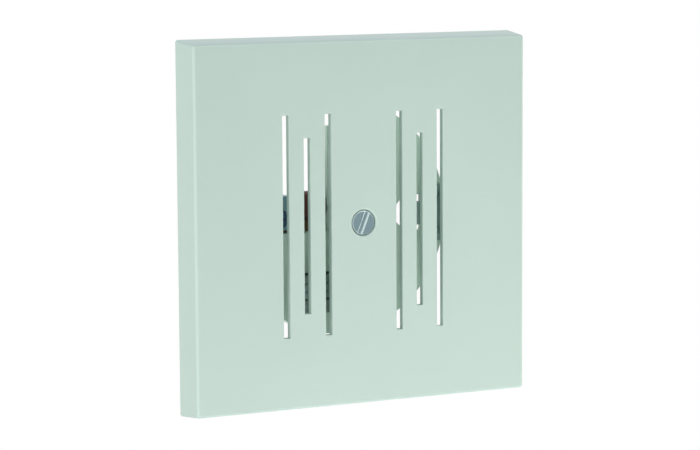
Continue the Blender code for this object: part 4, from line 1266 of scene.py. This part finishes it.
@dataclass
class CircuitBoard:
    """The board with its tracks, solder joints and screws."""

    rim: float = 0.00008
    track_width: float = 0.0007
    track_height: float = 0.00007
    track_bend: float = 0.0006
    joint_radius: float = 0.00075
    joint_height: float = 0.0008
    wire_radius: float = 0.00028
    head_radius: float = 0.0018
    head_height: float = 0.0011
    shank_radius: float = 0.0009
    recess_reach: float = 0.0011
    recess_width: float = 0.00036
    recess_depth: float = 0.0006
    recess_taper: float = 0.7
    screw_turns: tuple[float, ...] = (radians(20), radians(65), radians(5))
    leg_pitch: float = 0.00127
    trimmer_pins: tuple[Flat, ...] = ((-0.0018, -0.0028), (0.0018, -0.0028), (0.0, 0.0019))
    coil_inset: float = 0.0006
    coil_rise: float = 0.0014
    transistor_step: float = 0.0016
    tamper_pin_x: float = 0.00325
    tamper_pin_z: float = 0.00225
    terminal_drop: float = 0.0022
    can_gap: float = 0.0004
    can_half_pitch: float = 0.00125
    chip_leg: float = 0.0009
    route_step: float = 0.0024
    blob_radius: float = 0.0013
    blob_height: float = 0.0009

    def __post_init__(self) -> None:
        """Take the board's rear face from the solid, and the wire places from the parts."""
        self.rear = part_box("circuit_board")[1].y
        trimmer = middle_of("trimmer_body")
        coil_low, coil_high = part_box("coil_sleeve")
        transistor = middle_of("transistor")
        tamper = middle_of("tamper_switch")
        poles = places_of(numbered("terminal_screw", 2))
        can_low, can_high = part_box("capacitor")
        can_z = (can_low.z + can_high.z) / 2
        chip_low, chip_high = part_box("driver_chip")
        chip_x = (chip_low.x + chip_high.x) / 2
        self.trimmer = [(trimmer.x + dx, trimmer.z + dz) for dx, dz in self.trimmer_pins]
        self.coil = [(x, trimmer.z + self.coil_rise)
                     for x in (coil_low.x + self.coil_inset, coil_high.x - self.coil_inset)]
        self.transistor = [(transistor.x + (0.0 if k else self.transistor_step), transistor.z + k * self.leg_pitch)
                           for k in (-1, 0, 1)]
        self.tamper = [(tamper.x + a * self.tamper_pin_x, tamper.z + b * self.tamper_pin_z)
                       for a in (-1, 1) for b in (-1, 1)]
        self.terminal = [(x, z - self.terminal_drop) for x, _, z in poles]
        self.can = [(can_high.x + self.can_gap, can_z + side * self.can_half_pitch) for side in (-1, 1)]
        self.leads = [self.end_of("sounder_lead_black"), self.end_of("sounder_lead_red")]
        self.chip = [(chip_x + (k - 1.5) * self.leg_pitch, z + s * self.chip_leg)
                     for s, z in ((-1, chip_low.z), (1, chip_high.z)) for k in range(4)]
        self.resistors = [(middle_of(n).x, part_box(n)) for n in numbered("resistor", 3)]

    def end_of(self, node: str) -> Flat:
        """Give X and Z of the end of a lead that stands on the board."""
        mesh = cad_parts[node].data
        foot = [v.co for v in mesh.vertices if v.co.y < self.rear + 2 * GAP and v.co.z > 0]
        return (sum(c.x for c in foot) / len(foot), sum(c.z for c in foot) / len(foot))

    def wires(self) -> list[Flat]:
        """Give every place where a wire is soldered through the board."""
        return [*self.trimmer, *self.coil, *self.transistor, *self.tamper, *self.terminal, *self.can]

    def routes(self) -> list[list[Flat]]:
        """Give the routes of the tracks between the soldered places."""
        low, high = ([(x, corners[end].z) for x, corners in self.resistors] for end in (0, 1))
        step = self.route_step
        return [
            [self.terminal[0], low[0]],
            [self.terminal[1], low[2]],
            [low[1], (low[1][0], low[1][1] - step / 2), (low[2][0], low[1][1] - step / 2)],
            [high[0], (high[0][0] - step, high[0][1] + step), (self.trimmer[0][0], self.trimmer[0][1] - 2 * step),
             self.trimmer[0]],
            [high[1], (high[1][0] + step, high[1][1] + step), (self.can[0][0], self.can[0][1] - step / 2),
             self.can[0]],
            [high[2], (self.can[0][0], high[2][1] + step / 2), (self.can[0][0], self.can[0][1])],
            [self.can[1], (self.can[1][0], self.transistor[0][1] - step), self.transistor[0]],
            [self.transistor[1], self.coil[1]],
            [self.coil[0], self.trimmer[2]],
            [self.trimmer[1], (self.trimmer[1][0] + step, self.trimmer[1][1]),
             (self.coil[1][0], self.coil[1][1] - step), self.transistor[0]],
            [self.transistor[2], (self.leads[0][0] - 1.5 * step, self.transistor[2][1]),
             (self.chip[0][0], self.chip[0][1] - step), self.chip[0]],
            [self.leads[0], (self.chip[1][0], self.leads[0][1] + step), self.chip[1]],
            [self.leads[1], (self.chip[2][0], self.leads[1][1] + step), self.chip[2]],
            [self.tamper[2], (self.tamper[2][0], self.chip[3][1] - step / 4), self.chip[3]],
            [self.chip[4], (self.chip[4][0], self.chip[4][1] + step / 2), self.tamper[1]],
            [self.chip[7], (self.chip[7][0], self.chip[7][1] + step / 2), self.tamper[3]],
        ]

    def joints(self) -> None:
        """Make the solder joints round the wires' ends."""
        rise = self.joint_height
        foot = self.joint_radius
        wire = self.wire_radius
        flank = [(wire + (foot - wire) * (1 - i / 5) ** 2, rise * i / 5) for i in range(6)]
        bm = bmesh.new()
        lathe(bm, [(0, -EMBED / 4), (foot, -EMBED / 4), *flank, (wire, rise * 1.35), (wire * 0.6, rise * 1.5),
                   (0, rise * 1.5)], 16)
        places = [(x, self.rear, z) for x, z in self.wires()]
        PatternScatter().copies("solder_joints", Shape("joint", bm), places).smooth(radians(60)).fit(
            SOLDER, "root", Slot.ZINC)

    def lead_joints(self) -> None:
        """Make the two larger joints that hold the sounder's leads."""
        bm = bmesh.new()
        dome = [(self.blob_radius * cos(a), self.blob_height * sin(a)) for a in (pi / 2 * i / 8 for i in range(9))]
        lathe(bm, [(0, -EMBED / 4), (self.blob_radius, -EMBED / 4), *dome], SMALL_ROUND)
        places = [(x, self.rear, z) for x, z in self.leads]
        PatternScatter().copies("lead_joints", Shape("blob", bm), places).smooth(radians(60)).fit(
            SOLDER, "root", Slot.ZINC)

    def tracks(self) -> None:
        """Make the tinned tracks on the board's rear face."""
        tracks = SweptRoutes().along("board_tracks", self.routes(), {
            "Width": self.track_width, "Height": self.track_height, "Bend": self.track_bend,
            "Lift": self.rear + self.track_height / 3})
        tracks.smooth().fit(TINNED_TRACK, "root", Slot.BRASS)

    def screws(self) -> None:
        """Make the three cross-head screws that hold the board."""
        low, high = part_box("board_screw_1")
        seat = high.y - self.head_height
        dome = [(self.head_radius * cos(a), seat + self.head_height * (0.35 + 0.65 * sin(a)))
                for a in (pi / 2 * i / 8 for i in range(9))]
        bm = bmesh.new()
        lathe(bm, [(0, low.y), (self.shank_radius * 0.5, low.y), (self.shank_radius, low.y + self.shank_radius),
                   (self.shank_radius, seat), (self.head_radius, seat), *dome], SMALL_ROUND)
        screw = Shape("screw", bm)
        for reach_x, reach_z in ((self.recess_reach, self.recess_width), (self.recess_width, self.recess_reach)):
            recess = bmesh.new()
            box(recess, (-reach_x, high.y - self.recess_depth, -reach_z), (reach_x, high.y + OVERRUN, reach_z))
            for vert in recess.verts:
                if vert.co.y < high.y:
                    vert.co.x *= self.recess_taper
                    vert.co.z *= self.recess_taper
            screw.cut(recess)
        screw.smooth()
        nodes = numbered("board_screw", 3)
        PatternScatter().copies("board_screws", screw, places_of(nodes), self.screw_turns).smooth().fit(
            ZINC_SHEET, "root", Slot.ZINC, *nodes)

    def build(self) -> None:
        """Make and dress the board and what holds it."""
        Shape.of_node("component_board", "circuit_board").soften(self.rim).fit(
            LAMINATE, "root", Slot.BOARD, "circuit_board")
        self.tracks()
        self.joints()
        self.lead_joints()
        self.screws()


@dataclass
class FrontParts:
    """What shows through the slots: trimmer, choke, transistor and tamper switch."""

    rim: float = 0.00015
    fine: float = 0.00008
    winding_pitch: float = 0.00042
    winding_depth: float = 0.00010
    frame_thick: float = 0.0002
    frame_inset: float = 0.0002
    crimp_radius: float = 0.0004
    plunger_room: float = 0.0003

    def trimmer(self) -> None:
        """Make the trimmer's body and its slotted rotor."""
        Shape.of_node("trimmer_case", "trimmer_body").soften(self.rim, 3).fit(
            TRIMMER_BLUE, "root", Slot.TRIMMER, "trimmer_body")
        Shape.of_node("trimmer_dial", "trimmer_rotor").soften(self.fine).fit(
            DIAL_BLUE, "trimmer_rotor", Slot.TRIMMER, "trimmer_rotor")

    def choke(self) -> None:
        """Make the choke: a core whose winding shows through its shrunk sleeve."""
        low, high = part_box("coil_sleeve")
        core_low, core_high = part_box("coil_core")
        middle = middle_of("coil_core")
        radius = (core_high.z - core_low.z) / 2
        bm = bmesh.new()
        dimple = radius * 0.5
        deep = radius * 0.2
        lathe(bm, [(0, core_low.x + deep), (dimple, core_low.x + deep), (dimple + deep, core_low.x),
                   (radius, core_low.x), (radius, core_high.x), (dimple + deep, core_high.x),
                   (dimple, core_high.x - deep), (0, core_high.x - deep)], ROUND, (0, middle.y, middle.z), Axis.X)
        Shape("choke_core", bm).soften(self.rim).fit(FERRITE, "root", Slot.FERRITE, "coil_core")
        length = high.x - low.x
        sleeve = Shape("choke_sleeve", bmesh.new(), outward=False)
        RippledTube().run(sleeve, {
            "Radius": (high.z - low.z) / 2, "Depth": self.winding_depth, "Pitch": self.winding_pitch,
            "Length": length, "Sharpness": 2.0, "Points Round": ROUND + 1,
            "Rows": int(length / self.winding_pitch * 8)})
        lay = Matrix.Translation((low.x, middle.y, middle.z)) @ Matrix.Rotation(-pi / 2, 4, "Z")
        sleeve.piece.data.transform(lay)
        sleeve.smooth(radians(60)).fit(BROWN_SLEEVE, "root", Slot.SLEEVE, "coil_sleeve")

    def transistor(self) -> None:
        """Make the transistor's moulded body."""
        Shape.of_node("transistor_body", "transistor").soften(self.rim, 3, radians(40)).fit(
            BLACK_PLASTIC, "root", Slot.BLACK, "transistor")

    def tamper(self) -> None:
        """Make the tamper switch: body, crimped steel frame and plunger."""
        Shape.of_node("tamper_body", "tamper_switch").soften(self.rim, 3).fit(
            BLACK_PLASTIC, "root", Slot.BLACK, "tamper_switch")
        low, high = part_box("tamper_switch")
        tip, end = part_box("tamper_plunger")
        middle = middle_of("tamper_switch")
        radius = (end.x - tip.x) / 2
        bm = bmesh.new()
        inset = self.frame_inset
        top = low.y - self.frame_thick
        box(bm, (low.x + inset, top, low.z + inset), (high.x - inset, low.y + self.frame_thick, high.z - inset))
        plate = Shape("tamper_frame", bm)
        hole = bmesh.new()
        pin(hole, middle.x, middle.z, radius + 2 * self.plunger_room, top - OVERRUN,
            low.y + self.frame_thick + OVERRUN)
        plate.cut(hole)
        crimps = bmesh.new()
        corner = (high.x - low.x) / 2 - 3 * self.crimp_radius
        for a in (-1, 1):
            for b in (-1, 1):
                pin(crimps, middle.x + a * corner, middle.z + b * corner, self.crimp_radius,
                    top - self.frame_thick, low.y, 16)
        plate.join(crimps).smooth().fit(ZINC_SHEET, "root", Slot.ZINC)
        bm = bmesh.new()
        shoulder = radius * 0.85
        lathe(bm, [(0, tip.y), (shoulder, tip.y), (radius, tip.y + radius - shoulder), (radius, end.y), (0, end.y)],
              SMALL_ROUND, (middle.x, 0, middle.z))
        Shape("tamper_button", bm).soften(self.fine).fit(NYLON, "tamper_plunger", Slot.NYLON, "tamper_plunger")

    def build(self) -> None:
        """Make and dress the parts on the board's front."""
        self.trimmer()
        self.choke()
        self.transistor()
        self.tamper()


@dataclass
class TerminalBlock:
    """The two-pole terminal block with its screws and clamp cages."""

    rim: float = 0.00016
    fine: float = 0.00007
    groove_width: float = 0.0005
    groove_depth: float = 0.0005
    head_height: float = 0.0013
    shaft_radius: float = 0.0008
    slot_width: float = 0.0005
    slot_depth: float = 0.0006
    thread_depth: float = 0.00014

    def block(self) -> None:
        """Make the block with a groove between its poles."""
        low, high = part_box("terminal_block")
        middle = middle_of("terminal_block")
        block = Shape.of_node("two_pole_block", "terminal_block")
        grooves = bmesh.new()
        box(grooves, (middle.x - self.groove_width / 2, low.y - OVERRUN, low.z - OVERRUN),
            (middle.x + self.groove_width / 2, low.y + self.groove_depth, high.z + OVERRUN))
        block.cut(grooves).soften(self.rim, 2)
        block.fit(TERMINAL_GREY, "root", Slot.TERMINAL, "terminal_block")

    def screw(self, number: int) -> None:
        """Make one clamp screw with its slot."""
        node = f"terminal_screw_{number}"
        low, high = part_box(node)
        middle = middle_of(node)
        radius = (high.x - low.x) / 2
        seat = low.y + self.head_height
        bm = bmesh.new()
        lathe(bm, [(0, low.y), (radius, low.y), (radius, seat), (self.shaft_radius, seat),
                   (self.shaft_radius, high.y - self.thread_depth), (self.shaft_radius - self.thread_depth, high.y),
                   (0, high.y)], SMALL_ROUND, (middle.x, 0, middle.z))
        screw = Shape(f"clamp_screw_{number}", bm)
        slot = bmesh.new()
        reach = radius + OVERRUN
        box(slot, (middle.x - reach, low.y - OVERRUN, middle.z - self.slot_width / 2),
            (middle.x + reach, low.y + self.slot_depth, middle.z + self.slot_width / 2))
        screw.cut(slot).soften(self.fine).fit(ZINC_SHEET, node, Slot.ZINC, node)

    def build(self) -> None:
        """Make and dress the block, its screws and its cages."""
        self.block()
        for number in (1, 2):
            self.screw(number)
            node = f"clamp_cage_{number}"
            Shape.of_node(f"brass_cage_{number}", node).soften(self.fine).fit(BRASS, node, Slot.BRASS, node)


@dataclass
class Sounder:
    """The piezo sounder capsule and its two leads."""

    rim: float = 0.00018
    wall: float = 0.0009
    front: float = 0.0010
    port: float = 0.0025
    ledge_depth: float = 0.0030
    ledge_width: float = 0.0010
    notch_width: float = 0.0016
    notch_depth: float = 0.0006
    ring_width: float = 0.0005
    ring_depth: float = 0.0003
    cap_rim: float = 0.0010
    cap_plate: float = 0.0014
    lead_hole: float = 0.0015

    def __post_init__(self) -> None:
        """Take the capsule's place from its solid."""
        self.low, self.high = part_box("sounder_case")
        self.middle = middle_of("sounder_case")
        self.radius = (self.high.x - self.low.x) / 2
        self.centre = (self.middle.x, 0, self.middle.z)

    def case(self) -> None:
        """Make the ported case with notches in its rear rim."""
        bore = self.radius - self.wall
        ledge = self.low.y + self.front + self.ledge_depth
        inner = bore - self.ledge_width
        bm = bmesh.new()
        lathe(bm, [(self.port, self.low.y), (self.radius, self.low.y), (self.radius, self.high.y),
                   (bore, self.high.y), (bore, ledge), (inner, ledge), (inner, self.low.y + self.front),
                   (self.port, self.low.y + self.front)], ROUND, self.centre)
        case = Shape("sounder_shell", bm)
        notches = bmesh.new()
        half = self.notch_width / 2
        reach = self.radius + OVERRUN
        for quarter in range(4):
            verts = box(notches, (bore - OVERRUN / 2, self.high.y - self.notch_depth, -half),
                        (reach, self.high.y + OVERRUN, half))
            turn = Matrix.Rotation(pi / 4 + quarter * pi / 2, 3, "Y")
            bmesh.ops.rotate(notches, verts=verts, cent=(0, 0, 0), matrix=turn)
        bmesh.ops.translate(notches, verts=notches.verts, vec=self.centre)
        case.cut(notches).smooth().fit(BLACK_PLASTIC, "root", Slot.BLACK, "sounder_case")

    def cap(self) -> None:
        """Make the rear cap with its raised rings."""
        low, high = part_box("sounder_cap")
        radius = (high.x - low.x) / 2
        plate = high.y - self.cap_plate
        profile = [(self.lead_hole, plate), (radius - self.cap_rim, plate), (radius - self.cap_rim, low.y),
                   (radius, low.y), (radius, high.y)]
        for share in (0.80, 0.55, 0.30):
            outer = radius * share + self.ring_width
            profile += [(outer, high.y), (outer, high.y - self.ring_depth),
                        (outer - self.ring_width, high.y - self.ring_depth), (outer - self.ring_width, high.y)]
        profile.append((self.lead_hole, high.y))
        bm = bmesh.new()
        lathe(bm, profile, ROUND, self.centre)
        Shape("sounder_rear_cap", bm).soften(self.rim / 2).fit(CAP_PLASTIC, "root", Slot.BLACK, "sounder_cap")

    def disc(self, name: str, node: str, finish: Finish, slot: Slot) -> None:
        """Make one of the two discs of the piezo plate."""
        low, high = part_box(node)
        bm = bmesh.new()
        pin(bm, self.middle.x, self.middle.z, (high.x - low.x) / 2, low.y, high.y, ROUND)
        Shape(name, bm).soften((high.y - low.y) / 6).fit(finish, "root", slot, node)

    def build(self) -> None:
        """Make and dress the capsule and its leads."""
        self.case()
        self.cap()
        self.disc("piezo_brass_plate", "piezo_plate", BRASS, Slot.BRASS)
        self.disc("piezo_element", "piezo_ceramic", SILVERED_CERAMIC, Slot.CERAMIC)
        for node, finish, slot in (("sounder_lead_red", RED_INSULATION, Slot.LEAD_RED),
                                   ("sounder_lead_black", BLACK_INSULATION, Slot.LEAD_BLACK)):
            Shape.of_node("insulated_" + node, node).subdivide(2).fit(finish, "root", slot, node)


@dataclass
class RearParts:
    """Capacitor, driver chip and resistors behind the board."""

    board: CircuitBoard
    crimp: float = 0.0004
    top_inset: float = 0.0006
    vent_width: float = 0.0003
    vent_depth: float = 0.0003
    wire_radius: float = 0.0003
    rim: float = 0.00012
    draft: float = 0.0003
    dimple: float = 0.0004
    leg_width: float = 0.00042
    leg_thick: float = 0.00020
    end_length: float = 0.0006

    def capacitor(self) -> None:
        """Make the capacitor: crimped can in its sleeve, vented top, bung and wires."""
        low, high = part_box("capacitor")
        middle = middle_of("capacitor")
        radius = (high.z - low.z) / 2
        waist = radius - self.crimp
        centre = (0, middle.y, middle.z)
        inside = radius - self.top_inset
        bend = self.crimp * 4
        groove = [(radius, high.x - 5.2 * self.crimp), (waist + self.crimp / 4, high.x - 4.4 * self.crimp),
                  (waist, high.x - 4 * self.crimp), (waist, high.x - 3.4 * self.crimp),
                  (waist + self.crimp / 4, high.x - 3 * self.crimp), (radius, high.x - 2.2 * self.crimp)]
        bm = bmesh.new()
        lathe(bm, [(0, low.x + self.crimp), (inside, low.x + self.crimp), (inside, low.x),
                   (radius, low.x), *groove, (radius, high.x), (inside, high.x), (inside, high.x - self.crimp),
                   (0, high.x - self.crimp)], ROUND, centre, Axis.X)
        sleeve = PrintedSleeve("can_sleeve", (0.020, 0.034, 0.070), (0.50, 0.53, 0.56), (middle.y, middle.z))
        Shape("can_in_sleeve", bm).soften(self.rim * 2, 3).fit(sleeve, "root", Slot.CAN, "capacitor")
        bm = bmesh.new()
        lathe(bm, [(0, low.x + GAP / 3), (inside, low.x + GAP / 3), (inside, low.x + 2 * self.crimp),
                   (0, low.x + 2 * self.crimp)], ROUND, centre, Axis.X)
        top = Shape("can_top", bm)
        for turn in (radians(45), radians(-45)):
            vent = bmesh.new()
            half = self.vent_width / 2
            verts = box(vent, (low.x - OVERRUN, -half, -inside * 0.75),
                        (low.x + GAP / 3 + self.vent_depth, half, inside * 0.75))
            bmesh.ops.rotate(vent, verts=verts, cent=(0, 0, 0), matrix=Matrix.Rotation(turn, 3, "X"))
            bmesh.ops.translate(vent, verts=verts, vec=centre)
            top.cut(vent)
        top.soften(self.rim / 3).fit(ALUMINIUM, "root", Slot.ZINC)
        bm = bmesh.new()
        lathe(bm, [(0, high.x - 2 * self.crimp), (inside, high.x - 2 * self.crimp), (inside, high.x - self.crimp / 4),
                   (0, high.x - self.crimp / 4)], ROUND, centre, Axis.X)
        Shape("can_bung", bm).soften(self.rim).fit(RUBBER, "root", Slot.BLACK)
        self.can_wires(high.x, middle, bend)

    def can_wires(self, end: float, middle: Vector, bend: float) -> None:
        """Make the capacitor's wires, bent down to the board.

        Args:
            end: X of the can's wired end.
            middle: the can's middle.
            bend: bend radius of a wire.
        """
        bm = bmesh.new()
        for x, z in self.board.can:
            reach = min(bend, x - end + EMBED, middle.y - self.board.rear)
            path = [Vector((end - bend, middle.y, z))]
            path += [Vector((x - reach + a, middle.y - reach + b, z)) for a, b in arc((0, 0), reach, 90, 0, 8)]
            path.append(Vector((x, self.board.rear, z)))
            rings = []
            for index, point in enumerate(path):
                ahead = (path[min(index + 1, len(path) - 1)] - path[max(index - 1, 0)]).normalized()
                side = Vector((0, 0, 1))
                up = ahead.cross(side)
                rings.append([bm.verts.new(point + (side * cos(a) + up * sin(a)) * self.wire_radius)
                              for a in (2 * pi * k / 12 for k in range(12))])
            for near, far in zip(rings, rings[1:]):
                for k in range(12):
                    bm.faces.new((near[k], near[(k + 1) % 12], far[(k + 1) % 12], far[k]))
            bm.faces.new(rings[0])
            bm.faces.new(rings[-1][::-1])
        Shape("can_wires", bm).smooth(radians(60)).fit(SOLDER, "root", Slot.ZINC)

    def chip(self) -> None:
        """Make the driver chip with its legs."""
        low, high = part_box("driver_chip")
        middle = middle_of("driver_chip")
        bm = bmesh.new()
        box(bm, tuple(low), tuple(high))
        for vert in bm.verts:
            if abs(vert.co.y - middle.y) > MERGE:
                vert.co.x -= self.draft * (1 if vert.co.x > middle.x else -1) / 2
                vert.co.z -= self.draft * (1 if vert.co.z > middle.z else -1) / 2
        body = Shape("chip_body", bm)
        mark = bmesh.new()
        pin(mark, low.x + 2.4 * self.dimple, low.z + 2.4 * self.dimple, self.dimple,
            high.y - self.dimple / 3, high.y + OVERRUN)
        body.cut(mark).soften(self.rim).fit(BLACK_PLASTIC, "root", Slot.BLACK, "driver_chip")
        foot = self.board.rear + self.leg_thick / 2
        knee = middle.y
        thick = self.leg_thick
        half = self.leg_width / 2
        reach = self.board.chip_leg
        outline = [(-EMBED, knee), (reach * 0.45, knee), (reach * 0.7, foot), (reach * 1.3, foot),
                   (reach * 1.3, foot - thick), (reach * 0.7 - thick, foot - thick),
                   (reach * 0.45 - thick, knee - thick), (-EMBED, knee - thick)]
        bm = bmesh.new()
        prism(bm, [(-half, y, z) for z, y in outline], (self.leg_width, 0, 0))
        leg = Shape("leg", bm)
        top = high.z - self.draft / 2
        bottom = low.z + self.draft / 2
        places = [(x, 0, top) for x, _ in self.board.chip[4:]] + [(x, 0, bottom) for x, _ in self.board.chip[:4]]
        turns = [0.0] * 4 + [pi] * 4
        PatternScatter().copies("chip_legs", leg, places, turns).smooth().fit(SOLDER, "root", Slot.ZINC)

    def resistors(self) -> None:
        """Make the chip resistors: glazed bodies with tinned ends."""
        low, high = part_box("resistor_1")
        half_x = (high.x - low.x) / 2
        half_z = (high.z - low.z) / 2
        nodes = numbered("resistor", 3)
        places = places_of(nodes)
        bm = bmesh.new()
        inset = self.rim / 2
        box(bm, (inset - half_x, low.y, self.end_length / 2 - half_z),
            (half_x - inset, high.y - inset, half_z - self.end_length / 2))
        body = Shape("body", bm).soften(self.rim / 2)
        PatternScatter().copies("resistor_bodies", body, places).fit(RESISTOR_BODY, "root", Slot.BLACK, *nodes)
        bm = bmesh.new()
        for sign in (-1, 1):
            near, far = sorted((sign * half_z, sign * (half_z - self.end_length)))
            box(bm, (-half_x, self.board.rear - EMBED / 8, near), (half_x, high.y, far))
        ends = Shape("ends", bm).soften(self.rim, 3)
        PatternScatter().copies("resistor_ends", ends, places).fit(SOLDER, "root", Slot.ZINC)

    def build(self) -> None:
        """Make and dress the parts behind the board."""
        self.capacitor()
        self.chip()
        self.resistors()


@dataclass
class Studio:
    """Camera at the photograph's place, soft light, a white background and a pale floor."""

    image_width: int = 700
    sensor: float = 36.0
    focal_pixels: float = 2603.0
    yaw: float = radians(25.92)
    pitch: float = radians(7.0)
    roll: float = radians(0.34)
    offset: Point = (0.00314, 0.5700, 0.00047)
    ambient_side: Colour = (0.42, 0.42, 0.41)
    ambient_top: Colour = (0.34, 0.38, 0.48)
    floor_level: float = -0.200
    floor_radius: float = 0.300
    floor_colour: Colour = (0.86, 0.86, 0.85)

    def camera(self) -> None:
        """Set the camera from its turn and from where the cover's front lies before it."""
        turn = (Matrix.Rotation(-self.roll, 3, "Y") @ Matrix.Rotation(self.pitch, 3, "X")
                @ Matrix.Rotation(self.yaw, 3, "Z"))
        target = Vector((0, CAD_BOX[0].y, 0))
        right, ahead, up = (Vector(row) for row in turn)
        place = target - (right * self.offset[0] + ahead * self.offset[1] + up * self.offset[2])
        data = bpy.data.cameras.new("photo_camera")
        data.sensor_width = self.sensor
        data.lens = self.focal_pixels / self.image_width * self.sensor
        data.clip_start = 0.01
        data.clip_end = 10.0
        camera = bpy.data.objects.new("photo_camera", data)
        bpy.context.scene.collection.objects.link(camera)
        camera.matrix_world = Matrix.Translation(place) @ Matrix((right, up, -ahead)).transposed().to_4x4()
        bpy.context.scene.camera = camera

    def lamp(self, name: str, place: Point, size: float, level: float, colour: Colour,
             mirrored: bool = False) -> None:
        """Add a soft square lamp that looks at the object.

        Args:
            name: the lamp's name.
            place: where it stands.
            size: its side.
            level: how much of full white it adds on a white surface that faces it.
            colour: its colour.
            mirrored: whether glossy surfaces show it.
        """
        data = bpy.data.lights.new(name, "AREA")
        data.size = size
        data.energy = level * pi ** 2 * Vector(place).length_squared
        data.color = colour
        lamp = bpy.data.objects.new(name, data)
        bpy.context.scene.collection.objects.link(lamp)
        lamp.location = place
        lamp.rotation_euler = (-Vector(place)).to_track_quat("-Z", "Y").to_euler()
        lamp.visible_camera = False
        lamp.visible_glossy = mirrored

    def world(self) -> None:
        """Make the world: white where it is seen, a level glow elsewhere."""
        world = bpy.data.worlds.new("studio")
        world.use_nodes = True
        bpy.context.scene.world = world
        tree = Tree(world.node_tree)
        world.node_tree.nodes.clear()
        ray = world.node_tree.nodes.new("ShaderNodeLightPath")
        seen = Value(tree, ray.outputs["Is Camera Ray"]).most(Value(tree, ray.outputs["Is Glossy Ray"]))
        seen = seen.most(Value(tree, ray.outputs["Is Transmission Ray"]))
        way = tree.node("ShaderNodeTexCoord", output="Generated")
        height = tree.node("ShaderNodeSeparateXYZ", {}, {0: way}, "Z").most(0.0)
        glow = tree.blend(height, self.ambient_side, self.ambient_top)
        tree_glow = tree.node("ShaderNodeBackground", {}, {"Color": glow, "Strength": 1.0})
        tree_white = tree.node("ShaderNodeBackground", {}, {"Color": (1.0, 1.0, 1.0), "Strength": 1.0})
        mixed = tree.node("ShaderNodeMixShader", {}, {0: seen, 1: tree_glow, 2: tree_white})
        end = world.node_tree.nodes.new("ShaderNodeOutputWorld")
        world.node_tree.links.new(mixed.socket, end.inputs["Surface"])

    def floor(self) -> None:
        """Lay the pale floor below the object."""
        bm = bmesh.new()
        bmesh.ops.create_circle(bm, cap_ends=True, segments=ROUND, radius=self.floor_radius,
                                matrix=Matrix.Translation((0, 0, self.floor_level)))
        floor = Shape("floor", bm, outward=False)
        floor.piece.data.materials.append(made(FloorPaint(
            "pale_floor", self.floor_colour, 0.9, 0.0, 0.01, 0.05, 0.002, 0.00001)))

    def build(self) -> None:
        """Set up the whole studio."""
        self.camera()
        self.world()
        self.floor()
        self.lamp("low_front_lamp", (0.08, -0.24, -0.17), 0.16, 0.47, (1.0, 1.0, 0.97))
        self.lamp("high_front_lamp", (0.30, -0.50, 0.42), 0.14, 0.20, (1.0, 1.0, 0.98), True)
        self.lamp("left_lamp", (-0.70, -0.10, 0.05), 0.50, 0.52, (1.0, 1.0, 1.0))
        self.lamp("rear_lamp", (0.20, 0.70, 0.35), 0.60, 0.58, (1.0, 1.0, 1.0))
        bpy.context.scene.view_settings.view_transform = "Standard"


def main() -> None:
    """Build the siren's looks from the front to the back."""
    logging.basicConfig(level=logging.INFO, format="%(name)s %(message)s")
    FrontCover().build()
    CoverScrew().build()
    Carrier().build()
    board = CircuitBoard()
    board.build()
    FrontParts().build()
    TerminalBlock().build()
    Sounder().build()
    RearParts(board).build()
    Studio().build()


if __name__ == "__main__":
    main()
